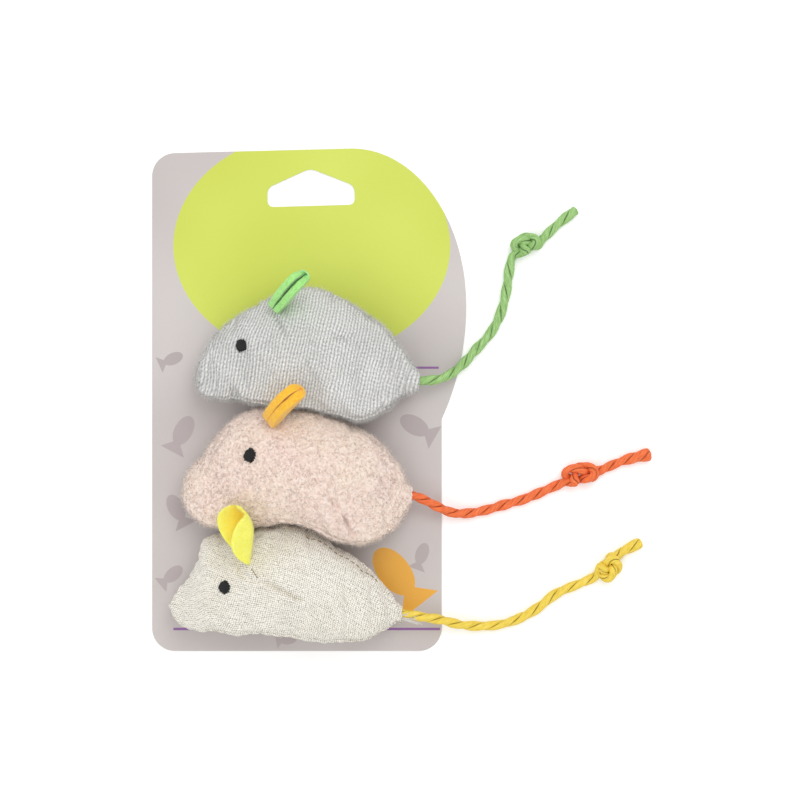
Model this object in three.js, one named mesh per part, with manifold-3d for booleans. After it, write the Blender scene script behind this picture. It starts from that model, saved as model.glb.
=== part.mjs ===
// Three stuffed cloth mice, cat toys, fastened side by side to a die-cut hang card.
// Millimetres. The card lies flat, +Z is out of its printed face, +Y points to the hang hole.
// The origin is under the middle of the card, on the surface it lies on.
import * as THREE from 'three';
import Module from 'manifold-3d';
import { mergeVertices } from 'three/addons/utils/BufferGeometryUtils.js';

const wasm = await Module();
wasm.setup();
const degrees = THREE.MathUtils.degToRad;

// Clearance between touching pieces, and how far a cut runs past what it cuts
const fitGap = 0.3;
const cutOverrun = 1;

// Hang card
const cardWidth = 122.5;
const cardHeight = 196;
const cardThickness = 0.8;
const cardCornerRadius = 9;
const shoulderWidth = 44.5;
const shoulderHeight = 61.2;
const flankRadius = 107.5;
const sideInset = 9.6;
const topSlope = 1.8;

// Hang hole, a delta shape for a display hook
const hangHoleWidth = 34;
const hangHoleHeight = 14.6;
const hangHoleSideHeight = 7.4;
const hangHoleCornerRadius = 2.6;
const hangHoleFromTop = 15.1;
const hangHoleOffset = 0.4;
const hangHoleTilt = degrees(1.6);

// Thread ties that hold the mice to the card
const threadDiameter = 0.5;
const threadSides = 6;
const tieHoleDiameter = 1.8;
const tieSpan = 9;
const tieFit = 0.1;

// Mice: from nose to rear seam, from belly to back and through the body
const greyLength = 86;
const greyHeight = 50.6;
const greyThickness = 33;
const pinkLength = 88.2;
const pinkHeight = 52;
const pinkThickness = 34;
const whiteLength = 89.4;
const whiteHeight = 43.8;
const whiteThickness = 32;

// Cloth and stuffing
const clothThickness = 0.9;
const seamGap = 0.45;
const stuffingGap = 1.3;
const pressDepth = 1.2;
const pressBlend = 1.5;
const droopShare = 0.5;
const sideFullness = 0.2;
const bellyFlatness = 1.7;
const bellySeamAngle = degrees(146);

// Felt ears, folded lengthwise: loosely, pressed flat under a body, or open as a cup
const earLength = 21.5;
const earHalfWidth = 9.5;
const earEndHalfWidth = 2;
const earFullness = 0.45;
const earRootRadius = 1;
const feltThickness = 1.5;
const looseFoldRadius = 1.8;
const pressedFoldRadius = 0.95;
const cuppedEarHalfWidth = 11.5;
const cupFoldRadius = 3.2;
const cupDepth = 2;

// Embroidered eyes
const eyeDiameter = 4.6;
const eyeThickness = 1.4;

// Paper cord tails
const cordDiameter = 3.4;
const cordSides = 8;
const knotRadius = 4.35;
const knotClearance = 0.05;
const knotSwellShare = 0.45;
const knotRiseShare = 0.55;
const knotOpening = degrees(24);
const knotSteps = 30;
const stubSteps = 16;
const freeCordSteps = 14;
const selfGapSamples = 240;

// The lead into a knot: right of the cord's travel and back along it, in knot radii, and the
// share of the knot's rise
const knotLeadShares = [
  [0.74, 2.45, -1], [0.86, 2, -1], [1.12, 1.62, -0.55], [1.22, 1.2, 0.2],
];

// Facets
const bodySteps = 20;
const sideFacets = 8;
const bellyFacets = 4;
const stuffingSteps = 12;
const stuffingFacets = 12;
const earSteps = 8;
const earFacets = 3;
const curveFacets = 10;

// Bodies, one row for each station from nose to tail: back along, back up, belly along, belly up,
// girth. Along and up are shares of the body's length and height from its middle, and girth is a
// share of its thickness.
const greyStationShares = [
  [-0.497, -0.150, -0.497, -0.196, 0.08],
  [-0.486, -0.064, -0.484, -0.262, 0.27],
  [-0.453, 0.049, -0.449, -0.314, 0.42],
  [-0.400, 0.159, -0.391, -0.332, 0.56],
  [-0.320, 0.270, -0.315, -0.338, 0.69],
  [-0.226, 0.364, -0.226, -0.366, 0.81],
  [-0.115, 0.452, -0.119, -0.392, 0.91],
  [0.019, 0.500, 0.006, -0.402, 0.98],
  [0.153, 0.424, 0.139, -0.455, 1.00],
  [0.273, 0.300, 0.242, -0.492, 0.94],
  [0.375, 0.152, 0.340, -0.424, 0.76],
  [0.451, -0.023, 0.424, -0.322, 0.48],
  [0.500, -0.134, 0.497, -0.256, 0.19],
];
const pinkStationShares = [
  [-0.499, -0.118, -0.499, -0.162, 0.08],
  [-0.489, -0.029, -0.485, -0.228, 0.28],
  [-0.461, 0.059, -0.454, -0.290, 0.42],
  [-0.407, 0.151, -0.394, -0.353, 0.56],
  [-0.333, 0.309, -0.324, -0.382, 0.70],
  [-0.246, 0.434, -0.233, -0.376, 0.82],
  [-0.142, 0.496, -0.133, -0.350, 0.92],
  [-0.021, 0.485, -0.029, -0.338, 0.99],
  [0.110, 0.448, 0.084, -0.390, 1.00],
  [0.227, 0.373, 0.188, -0.470, 0.94],
  [0.335, 0.270, 0.292, -0.494, 0.78],
  [0.430, 0.103, 0.396, -0.419, 0.50],
  [0.478, -0.044, 0.465, -0.287, 0.31],
  [0.500, -0.086, 0.497, -0.204, 0.18],
];
const whiteStationShares = [
  [-0.499, -0.190, -0.499, -0.251, 0.08],
  [-0.468, -0.076, -0.481, -0.325, 0.28],
  [-0.421, 0.041, -0.429, -0.404, 0.42],
  [-0.384, 0.177, -0.369, -0.435, 0.54],
  [-0.352, 0.371, -0.297, -0.435, 0.66],
  [-0.245, 0.430, -0.211, -0.456, 0.80],
  [-0.142, 0.465, -0.117, -0.443, 0.91],
  [-0.014, 0.496, -0.005, -0.461, 0.99],
  [0.115, 0.448, 0.123, -0.500, 1.00],
  [0.230, 0.308, 0.243, -0.500, 0.94],
  [0.337, 0.151, 0.341, -0.487, 0.78],
  [0.423, -0.024, 0.423, -0.421, 0.52],
  [0.479, -0.168, 0.474, -0.365, 0.32],
  [0.500, -0.216, 0.498, -0.356, 0.19],
];

// The mice. Each tail's route is a hand-chosen list from the rear seam to its knot and from the
// knot to its cut end. Ears sit by shares along the body and angles round its section.
const mice = [
  {
    name: 'grey', cloth: 0xcdd0cf, felt: 0x8fdc74, cord: 0x93c06f,
    length: greyLength, height: greyHeight, thickness: greyThickness, acrossShare: -0.003,
    stationShares: greyStationShares,
    ear: {
      alongShare: 0.505, around: degrees(40), heading: degrees(45), lift: degrees(44),
      roll: degrees(-4), halfWidth: earHalfWidth, opening: degrees(3),
      foldRadius: looseFoldRadius, cup: 0,
    },
    hiddenEar: {
      alongShare: 0.48, around: degrees(-52), heading: degrees(6), lift: degrees(0),
      roll: degrees(-88), halfWidth: earHalfWidth, opening: degrees(0),
      foldRadius: pressedFoldRadius, cup: 0,
    },
    eye: { alongShare: 0.366, around: degrees(74) },
    hiddenEye: { alongShare: 0.366, around: degrees(-56) },
    tieAlongShare: 0.06,
    route: [
      [47, 7.5, 9.2], [51.5, 8.3, 8], [56, 10.6, 6.1], [60.5, 14.5, 4], [65, 19.6, 2.5],
      [70.1, 25.2, 1.85], [73.8, 31.6, 1.75], [75.9, 38, 1.75], [77, 43.5, 1.75],
    ],
    knot: { place: [84.7, 61.5], heading: degrees(46), hand: 1 },
    stub: [[98.8, 70.2, 1.75], [103.3, 73.3, 1.75]],
  },
  {
    name: 'pink', cloth: 0xf2ddd2, felt: 0xffb732, cord: 0xf2713a,
    length: pinkLength, height: pinkHeight, thickness: pinkThickness, acrossShare: -0.034,
    stationShares: pinkStationShares,
    ear: {
      alongShare: 0.49, around: degrees(42), heading: degrees(45), lift: degrees(36),
      roll: degrees(-14), halfWidth: earHalfWidth, opening: degrees(0),
      foldRadius: looseFoldRadius, cup: 0,
    },
    hiddenEar: {
      alongShare: 0.48, around: degrees(-52), heading: degrees(-7), lift: degrees(0),
      roll: degrees(-88), halfWidth: earHalfWidth, opening: degrees(0),
      foldRadius: pressedFoldRadius, cup: 0,
    },
    eye: { alongShare: 0.42, around: degrees(74) },
    hiddenEye: { alongShare: 0.42, around: degrees(-56) },
    tieAlongShare: 0.06,
    route: [
      [45, -38.8, 8.6], [50.5, -41.7, 6.6], [56, -43.9, 4.4], [62.5, -44.1, 2.6],
      [69, -42.9, 1.9], [75.6, -41, 1.8], [82.3, -39.2, 1.75], [88, -37, 1.75],
    ],
    knot: { place: [103.9, -27.7], heading: degrees(22), hand: 1 },
    stub: [[122.5, -23.9, 1.75], [132.8, -21.6, 1.75]],
  },
  {
    name: 'white', cloth: 0xeceae3, felt: 0xf5f24a, cord: 0xf2d24a,
    length: whiteLength, height: whiteHeight, thickness: whiteThickness, acrossShare: -0.07,
    stationShares: whiteStationShares,
    ear: {
      alongShare: 0.445, around: degrees(66), heading: degrees(86), lift: degrees(16),
      roll: degrees(-58), halfWidth: cuppedEarHalfWidth, opening: degrees(24),
      foldRadius: cupFoldRadius, cup: cupDepth,
    },
    hiddenEar: {
      alongShare: 0.48, around: degrees(-52), heading: degrees(-4), lift: degrees(0),
      roll: degrees(-84), halfWidth: cuppedEarHalfWidth, opening: degrees(0),
      foldRadius: pressedFoldRadius, cup: 0,
    },
    eye: { alongShare: 0.366, around: degrees(91) },
    hiddenEye: { alongShare: 0.366, around: degrees(-60) },
    tieAlongShare: 0.06,
    route: [
      [44.5, -84, 8.6], [51, -85.2, 6.6], [58.5, -87.3, 4.2], [64, -88, 2.8], [72, -87.9, 1.95],
      [79, -86.3, 1.8], [85, -83.6, 1.75], [90.3, -80.2, 1.75], [95.8, -75.8, 1.75],
    ],
    knot: { place: [117.1, -67.3], heading: degrees(30), hand: -1 },
    stub: [[129.5, -55.7, 1.75]],
  },
];
// Share of the card's height from its middle to the first mouse, and how closely the next two
// nest under the one above, as shares of their mean height
const firstMouseUpShare = 0.0876;
const nestShares = [1, 0.904, 0.852];

const restHeight = cardThickness + fitGap;

function solidOf(geometry) {
  const bare = geometry.clone();
  bare.deleteAttribute('normal');
  bare.deleteAttribute('uv');
  const merged = mergeVertices(bare);
  return new wasm.Manifold(new wasm.Mesh({
    numProp: 3,
    vertProperties: new Float32Array(merged.attributes.position.array),
    triVerts: new Uint32Array(merged.index.array),
  }));
}

function geometryOf(solid) {
  const mesh = solid.getMesh();
  const geometry = new THREE.BufferGeometry();
  geometry.setAttribute('position', new THREE.BufferAttribute(mesh.vertProperties, 3));
  geometry.setIndex(new THREE.BufferAttribute(mesh.triVerts, 1));
  geometry.computeVertexNormals();
  return geometry;
}

function indexedGeometry(points, triangles) {
  const geometry = new THREE.BufferGeometry().setFromPoints(points);
  geometry.setIndex(triangles);
  geometry.computeVertexNormals();
  return geometry;
}

// A closed sheet between two grids of points, the first on its outer face
function sheetGeometry(outer, inner) {
  const rows = outer.length;
  const columns = outer[0].length;
  const points = [...outer.flat(), ...inner.flat()];
  const at = (row, column) => row * columns + column;
  const triangles = [];
  const pushFace = (a, b, c) => {
    triangles.push(a, b, c);
    triangles.push(a + rows * columns, c + rows * columns, b + rows * columns);
  };
  for (let row = 0; row < rows - 1; row++) {
    for (let column = 0; column < columns - 1; column++) {
      pushFace(at(row, column), at(row, column + 1), at(row + 1, column));
      pushFace(at(row + 1, column), at(row, column + 1), at(row + 1, column + 1));
    }
  }
  const rim = [];
  for (let column = 0; column < columns - 1; column++) rim.push(at(0, column));
  for (let row = 0; row < rows - 1; row++) rim.push(at(row, columns - 1));
  for (let column = columns - 1; column > 0; column--) rim.push(at(rows - 1, column));
  for (let row = rows - 1; row > 0; row--) rim.push(at(row, 0));
  rim.forEach((start, index) => {
    const end = rim[(index + 1) % rim.length];
    triangles.push(end, start, start + rows * columns);
    triangles.push(end, start + rows * columns, end + rows * columns);
  });
  return indexedGeometry(points, triangles);
}

// A closed skin through rings of points, with a flat fan at each end
function ringsGeometry(rings) {
  const count = rings[0].length;
  const middleOf = (ring) => ring
    .reduce((sum, point) => sum.add(point), new THREE.Vector3())
    .multiplyScalar(1 / count);
  const points = [...rings.flat(), middleOf(rings[0]), middleOf(rings.at(-1))];
  const first = points.length - 2;
  const last = points.length - 1;
  const triangles = [];
  for (let step = 0; step < count; step++) {
    const next = (step + 1) % count;
    triangles.push(first, next, step);
    for (let ring = 0; ring < rings.length - 1; ring++) {
      const near = ring * count;
      const far = near + count;
      triangles.push(near + step, near + next, far + step, far + step, near + next, far + next);
    }
    const end = (rings.length - 1) * count;
    triangles.push(last, end + step, end + next);
  }
  return indexedGeometry(points, triangles);
}

function part(name, geometry, color, roughness) {
  const material = new THREE.MeshStandardMaterial({ color, roughness, metalness: 0 });
  const mesh = new THREE.Mesh(geometry, material);
  mesh.name = name;
  return mesh;
}

// Hang card

function roundedPolygon(path, corners, radius) {
  corners.forEach((corner, index) => {
    const before = corners.at(index - 1);
    const after = corners[(index + 1) % corners.length];
    const start = corner.clone().sub(before).setLength(radius).negate().add(corner);
    const end = after.clone().sub(corner).setLength(radius).add(corner);
    if (index === 0) path.moveTo(start.x, start.y);
    else path.lineTo(start.x, start.y);
    path.quadraticCurveTo(corner.x, corner.y, end.x, end.y);
  });
  path.closePath();
  return path;
}

function hangHolePath() {
  const half = hangHoleWidth / 2;
  const low = -hangHoleHeight;
  const turn = (x, y) => new THREE.Vector2(x, y)
    .rotateAround(new THREE.Vector2(), hangHoleTilt)
    .add(new THREE.Vector2(hangHoleOffset, cardHeight / 2 - hangHoleFromTop + hangHoleHeight / 2));
  const corners = [
    turn(-half, low), turn(half, low), turn(half, low + hangHoleSideHeight), turn(0, 0),
    turn(-half, low + hangHoleSideHeight),
  ];
  return roundedPolygon(new THREE.Path(), corners, hangHoleCornerRadius);
}

function cardOutline() {
  const left = -cardWidth / 2;
  const right = cardWidth / 2;
  const low = -cardHeight / 2;
  const high = cardHeight / 2;
  const radius = cardCornerRadius;
  const shoulderLow = high - shoulderHeight;
  const flankSweep = Math.acos(1 - sideInset / flankRadius);
  const shape = new THREE.Shape();
  shape.moveTo(left + radius, low);
  shape.lineTo(right - sideInset - radius, low);
  shape.absarc(right - sideInset - radius, low + radius, radius, -Math.PI / 2, 0, false);
  shape.absarc(right - flankRadius, shoulderLow, flankRadius, -flankSweep, 0, false);
  shape.absellipse(
    right - shoulderWidth, shoulderLow, shoulderWidth, shoulderHeight, 0, Math.PI / 2, false, 0,
  );
  shape.lineTo(left + radius, high - topSlope);
  shape.absarc(left + radius, high - topSlope - radius, radius, Math.PI / 2, Math.PI, false);
  shape.absarc(left + radius, low + radius, radius, Math.PI, Math.PI * 1.5, false);
  return shape;
}

function hangCard(tiePlaces) {
  const shape = cardOutline();
  shape.holes.push(hangHolePath());
  const holeRadius = tieHoleDiameter / 2;
  for (const { x, y } of tiePlaces) {
    for (const side of [-1, 1]) {
      const hole = new THREE.Path();
      hole.absarc(x + side * tieSpan / 2, y, holeRadius, 0, Math.PI * 2, true);
      shape.holes.push(hole);
    }
  }
  const board = new THREE.ExtrudeGeometry(shape, {
    depth: cardThickness, bevelEnabled: false, curveSegments: curveFacets,
  });
  // The taut threads bite into the back of the board, so nothing stands proud of it
  const groove = threadDiameter + 2 * tieFit;
  const grooveDepth = threadDiameter + tieFit;
  const cuts = tiePlaces.map(({ x, y }) => {
    const box = new THREE.BoxGeometry(tieSpan, groove, grooveDepth + cutOverrun);
    return solidOf(box.translate(x, y, (grooveDepth - cutOverrun) / 2));
  });
  const cut = cuts.reduce((solid, groovePart) => solid.subtract(groovePart), solidOf(board));
  return part('hang_card', geometryOf(cut), 0xcbc4c3, 0.6);
}

// A staple of thread: two legs up through the card, joined across its back
function threadTie(name, { x, y }) {
  const radius = threadDiameter / 2;
  const bend = threadDiameter;
  const top = restHeight - fitGap / 2;
  const path = new THREE.CurvePath();
  const half = tieSpan / 2;
  const corner = (side) => new THREE.Vector3(x + side * half, y, radius);
  const above = (side, z) => new THREE.Vector3(x + side * half, y, z);
  const inward = (side) => new THREE.Vector3(x + side * (half - bend), y, radius);
  path.add(new THREE.LineCurve3(above(-1, top), above(-1, radius + bend)));
  path.add(new THREE.QuadraticBezierCurve3(above(-1, radius + bend), corner(-1), inward(-1)));
  path.add(new THREE.LineCurve3(inward(-1), inward(1)));
  path.add(new THREE.QuadraticBezierCurve3(inward(1), corner(1), above(1, radius + bend)));
  path.add(new THREE.LineCurve3(above(1, radius + bend), above(1, top)));
  const geometry = tubeGeometry(path, threadDiameter, threadSides, 40);
  return part(name, geometry, 0xe8e8e4, 0.5);
}

function tubeGeometry(path, diameter, sides, steps) {
  const section = new THREE.Shape();
  for (let side = 0; side < sides; side++) {
    const angle = side / sides * Math.PI * 2;
    const x = Math.cos(angle) * diameter / 2;
    const y = Math.sin(angle) * diameter / 2;
    if (side === 0) section.moveTo(x, y);
    else section.lineTo(x, y);
  }
  section.closePath();
  return new THREE.ExtrudeGeometry(section, { steps, bevelEnabled: false, extrudePath: path });
}

// Stuffed bodies

function bodyForm(mouse) {
  const curve = (points) => new THREE.CatmullRomCurve3(points, false, 'centripetal');
  const rows = mouse.stationShares;
  const placed = (along, up) => new THREE.Vector3(
    mouse.place.x + along * mouse.length, mouse.place.y + up * mouse.height, 0,
  );
  return {
    back: curve(rows.map(([along, up]) => placed(along, up))),
    belly: curve(rows.map(([, , along, up]) => placed(along, up))),
    girth: curve(rows.map((row, index) => new THREE.Vector3(index / (rows.length - 1), row[4], 0))),
    halfThickness: mouse.thickness / 2,
  };
}

// The side on the card is pressed flat, with a soft shoulder
function pressed(height) {
  const above = height - restHeight;
  return restHeight + (above + Math.hypot(above, pressBlend)) / 2;
}

function skinPoint(form, along, around) {
  const back = form.back.getPoint(along);
  const belly = form.belly.getPoint(along);
  const halfGirth = form.girth.getPoint(along).y * form.halfThickness;
  const up = Math.cos(around);
  const upShare = up > 0 ? up : (1 + up) ** bellyFlatness - 1;
  const point = back.clone().lerp(belly, (1 - upShare) / 2);
  const middle = halfGirth * (1 - droopShare) + form.halfThickness * droopShare - pressDepth;
  const side = halfGirth * Math.sin(around) * (1 - sideFullness * up);
  point.z = pressed(restHeight + middle + side);
  return point;
}

function skinNormal(form, along, around) {
  const nudge = 0.002;
  const start = Math.max(0, along - nudge);
  const end = Math.min(1, along + nudge);
  const forward = skinPoint(form, end, around).sub(skinPoint(form, start, around));
  const aside = skinPoint(form, along, around + nudge).sub(skinPoint(form, along, around - nudge));
  return aside.cross(forward).normalize();
}

function offSkin(form, along, around, distance) {
  const normal = skinNormal(form, along, around);
  return skinPoint(form, along, around).addScaledVector(normal, distance);
}

// One cloth panel between two seams
function clothPanel(form, from, to, facets) {
  const grid = (depth) => {
    const rows = [];
    for (let step = 0; step <= bodySteps; step++) {
      const along = (1 - Math.cos(step / bodySteps * Math.PI)) / 2;
      const row = [];
      const turn = (to - from) / facets;
      const edge = offSkin(form, along, from, -depth);
      const chord = edge.distanceTo(offSkin(form, along, from + turn, -depth));
      const seam = seamGap / 2 / chord * turn;
      for (let facet = 0; facet <= facets; facet++) {
        const around = THREE.MathUtils.mapLinear(facet, 0, facets, from + seam, to - seam);
        row.push(offSkin(form, along, around, -depth));
      }
      rows.push(row);
    }
    return rows;
  };
  return sheetGeometry(grid(0), grid(clothThickness));
}

function stuffing(form) {
  const rings = [];
  const inset = clothThickness + stuffingGap;
  const endShare = 0.06;
  for (let step = 0; step <= stuffingSteps; step++) {
    const share = (1 - Math.cos(step / stuffingSteps * Math.PI)) / 2;
    const along = THREE.MathUtils.lerp(endShare, 1 - endShare, share);
    const ring = [];
    for (let facet = 0; facet < stuffingFacets; facet++) {
      ring.push(offSkin(form, along, facet / stuffingFacets * Math.PI * 2, -inset));
    }
    rings.push(ring);
  }
  return ringsGeometry(rings);
}

// Ears

// A round leaf folded lengthwise: its root at the origin, its length along X, open towards +Z
function earGeometry({ halfWidth, opening, foldRadius, cup }) {
  const grid = (offset) => {
    const rows = [];
    for (let step = 0; step <= earSteps; step++) {
      const share = step / earSteps;
      const x = share * earLength - earRootRadius;
      const fullness = Math.max(0, Math.sin(Math.PI * share ** 1.15)) ** earFullness;
      const reachWidth = THREE.MathUtils.lerp(earEndHalfWidth, halfWidth, fullness);
      const rootShare = Math.min(1, (x + earRootRadius) / earRootRadius);
      const spine = cup * share ** 2 - earRootRadius * Math.sqrt(1 - (1 - rootShare) ** 2);
      const row = [];
      for (let facet = -earFacets; facet <= earFacets; facet++) {
        const reach = Math.abs(facet / earFacets) * reachWidth;
        const bend = Math.min(reach / foldRadius, Math.PI / 2 - opening);
        const straight = reach - bend * foldRadius;
        const radius = foldRadius + offset;
        const y = radius * Math.sin(bend) + straight * Math.cos(bend);
        const z = foldRadius - radius * Math.cos(bend) + straight * Math.sin(bend);
        row.push(new THREE.Vector3(x, Math.sign(facet) * y, spine + z));
      }
      rows.push(row);
    }
    return rows;
  };
  return sheetGeometry(grid(feltThickness / 2), grid(-feltThickness / 2));
}

function feltEar(name, form, pose, color) {
  const ear = part(name, earGeometry(pose), color, 0.95);
  const standOff = fitGap + earRootRadius + feltThickness / 2;
  ear.position.copy(offSkin(form, pose.alongShare, pose.around, standOff));
  ear.rotation.set(pose.roll, -pose.lift, pose.heading, 'ZYX');
  return ear;
}

function eye(name, form, { alongShare, around }) {
  const geometry = new THREE.SphereGeometry(1, 10, 6);
  geometry.scale(eyeDiameter / 2, eyeThickness / 2, eyeDiameter / 2);
  const bead = part(name, geometry, 0x1c1c1e, 0.8);
  const normal = skinNormal(form, alongShare, around);
  bead.position.copy(offSkin(form, alongShare, around, fitGap + eyeThickness / 2));
  bead.quaternion.setFromUnitVectors(new THREE.Vector3(0, 1, 0), normal);
  return bead;
}

// Tails

// A point of a knot, given right of the cord's travel, back along it and up
function knotPoint({ place, heading, hand }, right, back, rise) {
  const along = new THREE.Vector3(Math.cos(heading), Math.sin(heading), 0);
  const aside = new THREE.Vector3(along.y, -along.x, 0);
  const lift = knotRiseShare * knotRadius;
  const middle = cordDiameter / 2 + knotClearance + lift;
  return new THREE.Vector3(place[0], place[1], middle + rise * lift)
    .addScaledVector(aside, hand * right * knotRadius)
    .addScaledVector(along, -back * knotRadius);
}

// An overhand knot: the open run of a three-lobed torus knot between a lead in and a lead out
function knotPoints(knot) {
  const points = [];
  for (const [right, back, rise] of knotLeadShares) points.push(knotPoint(knot, right, back, rise));
  for (let step = 0; step <= knotSteps; step++) {
    const turn = THREE.MathUtils.lerp(knotOpening, Math.PI * 2 - knotOpening, step / knotSteps);
    const reach = 1 + knotSwellShare * Math.cos(3 * turn);
    points.push(knotPoint(
      knot, reach * Math.cos(2 * turn), reach * Math.sin(2 * turn), Math.sin(3 * turn),
    ));
  }
  for (const [right, back] of knotLeadShares.toReversed()) {
    points.push(knotPoint(knot, right, -back, -1));
  }
  return points;
}

// The free stretch runs from the rear seam to the knot, the knotted end from there to the cut
function tailCurves(mouse, form) {
  const curve = (points) => new THREE.CatmullRomCurve3(points, false, 'centripetal');
  const root = form.back.getPoint(1).lerp(form.belly.getPoint(1), 0.5).setZ(rearHeight(form));
  const turns = knotPoints(mouse.knot);
  const back = turns[0].clone().sub(turns[1]).normalize();
  const joint = turns[0].clone().addScaledVector(back, fitGap);
  const before = turns[0].clone().addScaledVector(back, cordDiameter / 2);
  const route = mouse.route.map((point) => new THREE.Vector3(...point));
  const stub = mouse.stub.map((point) => new THREE.Vector3(...point));
  return {
    free: curve([root, ...route, before, joint]),
    knotted: curve([...turns, ...stub]),
  };
}

// The least space between the strands of a knot, apart from neighbours along the cord
function leastSelfGap(path) {
  const points = path.getSpacedPoints(selfGapSamples);
  const spacing = path.getLength() / selfGapSamples;
  const apart = Math.ceil(2 * cordDiameter / spacing);
  let least = Infinity;
  for (let near = 0; near < points.length; near++) {
    for (let far = near + apart; far < points.length; far++) {
      least = Math.min(least, points[near].distanceTo(points[far]) - cordDiameter);
    }
  }
  return least;
}

function rearHeight(form) {
  const side = (sign) => skinPoint(form, 1, sign * Math.PI / 2).z;
  return (side(1) + side(-1)) / 2;
}

const group = new THREE.Group();
let above = null;
mice.forEach((mouse, index) => {
  const spacing = above ? nestShares[index] * (above.height + mouse.height) / 2 : 0;
  const up = above ? above.place.y - spacing : firstMouseUpShare * cardHeight;
  mouse.place = new THREE.Vector2(mouse.acrossShare * cardWidth, up);
  above = mouse;
});

const tiePlaces = mice.map((mouse) => new THREE.Vector2(
  mouse.place.x + mouse.tieAlongShare * mouse.length, mouse.place.y,
));
group.add(hangCard(tiePlaces));

mice.forEach((mouse, index) => {
  const form = bodyForm(mouse);
  const turn = Math.PI * 2;
  const seam = bellySeamAngle;
  const panel = (side, from, to, facets) => group.add(
    part(`${mouse.name}_${side}`, clothPanel(form, from, to, facets), mouse.cloth, 0.95),
  );
  panel('left_side', 0, seam, sideFacets);
  panel('belly_gusset', seam, turn - seam, bellyFacets);
  panel('right_side', turn - seam, turn, sideFacets);
  group.add(part(`${mouse.name}_stuffing`, stuffing(form), 0xf4f4f0, 1));
  group.add(feltEar(`${mouse.name}_left_ear`, form, mouse.ear, mouse.felt));
  group.add(feltEar(`${mouse.name}_right_ear`, form, mouse.hiddenEar, mouse.felt));
  group.add(eye(`${mouse.name}_left_eye`, form, mouse.eye));
  group.add(eye(`${mouse.name}_right_eye`, form, mouse.hiddenEye));
  group.add(threadTie(`${mouse.name}_thread_tie`, tiePlaces[index]));
  const { free, knotted } = tailCurves(mouse, form);
  const cord = (name, path, steps) => group.add(
    part(`${mouse.name}_${name}`, tubeGeometry(path, cordDiameter, cordSides, steps), mouse.cord, 0.8),
  );
  console.log(`${mouse.name} knot, least gap between strands ${leastSelfGap(knotted).toFixed(2)} mm`);
  cord('tail_cord', free, freeCordSteps);
  cord('tail_knot', knotted, knotSteps + stubSteps);
});

export default group;
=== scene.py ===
import math

import bpy
import numpy as np
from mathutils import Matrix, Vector


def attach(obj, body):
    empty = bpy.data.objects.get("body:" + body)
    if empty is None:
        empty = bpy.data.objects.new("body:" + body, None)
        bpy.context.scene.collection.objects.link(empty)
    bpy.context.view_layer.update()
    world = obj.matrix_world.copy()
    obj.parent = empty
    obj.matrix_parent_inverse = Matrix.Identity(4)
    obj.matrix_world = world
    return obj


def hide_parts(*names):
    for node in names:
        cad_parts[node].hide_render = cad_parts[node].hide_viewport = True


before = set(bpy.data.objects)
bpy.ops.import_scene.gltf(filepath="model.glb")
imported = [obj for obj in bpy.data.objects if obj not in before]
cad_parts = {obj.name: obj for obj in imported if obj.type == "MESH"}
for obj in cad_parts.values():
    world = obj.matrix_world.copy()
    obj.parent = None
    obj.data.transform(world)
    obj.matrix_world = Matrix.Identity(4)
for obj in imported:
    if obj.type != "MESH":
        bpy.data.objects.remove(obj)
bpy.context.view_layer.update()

MM = 0.001
TURN = 2 * math.pi
degrees = math.radians


def mm(*values):
    """Millimetres as metres."""
    return tuple(value * MM for value in values)


# The view, straight down on the card, and the studio
CAMERA_X, CAMERA_Y, CAMERA_HEIGHT = mm(35.4, -0.1, 900)
CLIP_START = 10 * MM
FIELD_WIDTH = 312 * MM
SENSOR_WIDTH = 36
FLOOR_HALF = 3.0
FLOOR_DROP = 0.1 * MM
FLOOR_LIFT = 0.14
SKY_STRENGTH = 0.8
LIGHT_AIM = (0.01, 0, 0)
LIGHTS = [("key", (0.24, 0.42, 0.85), 0.6, 2.45), ("fill", (-0.35, -0.4, 0.85), 0.9, 1.6)]

# Card and cloth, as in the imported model
CARD_TOP = 0.8 * MM
FIT_GAP = 0.3 * MM
REST_HEIGHT = CARD_TOP + FIT_GAP
CLOTH_THICKNESS = 0.9 * MM
STUFFING_GAP = 1.3 * MM
PRESS_DEPTH = 1.2 * MM
PRESS_BLEND = 1.5 * MM
DROOP_SHARE = 0.5
SIDE_FULLNESS = 0.2
BELLY_FLATNESS = 1.7
BELLY_SEAM = degrees(146)
LOWEST_CLOTH = CARD_TOP + 0.06 * MM

# The skin's ends: a dome over the nose, and a sleeve that is drawn in round the tail
NOSE_DEPTH = 1.1 * MM
NOSE_OPEN = 0.03
TAIL_ROOM = 0.2 * MM
TAIL_LIP = 0.15 * MM
TAIL_SLEEVE = 1.2 * MM

# Cloth simulation: pressure in a skin held at its seams, on a coarse grid
SIM_STATIONS = 60
SIM_ANGLES = 60
SIM_FRAMES = 20
SIM_CAP = 1.5 * MM
SIM_SHARE = 0.65
SIM_SETTINGS = dict(
    quality=6, mass=0.1, tension_stiffness=12, compression_stiffness=12, bending_stiffness=0.3,
    shrink_min=-0.045, use_pressure=True, uniform_pressure_force=4, vertex_group_mass="held",
)

# Panels: where each starts and ends round the body, and how fine its grid is
PANELS = [
    ("left_side", 0.0, BELLY_SEAM, 0.36 * MM),
    ("belly_gusset", BELLY_SEAM, TURN - BELLY_SEAM, 0.5 * MM),
    ("right_side", TURN - BELLY_SEAM, TURN, 0.55 * MM),
]
INNER_STEP = 4

# Ribs of the velour and threads of the canvas, on a slant and bent towards the nose
RIB_PITCH = 1.25 * MM
RIB_LEAN = 0.2
RIB_BEND = 0.012 / MM
RIB_FRONT = 30 * MM
WEAVE_PITCH = 0.76 * MM
WEAVE_TILT = 0.22
WEAVE_BEND = 0.009 / MM

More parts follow.
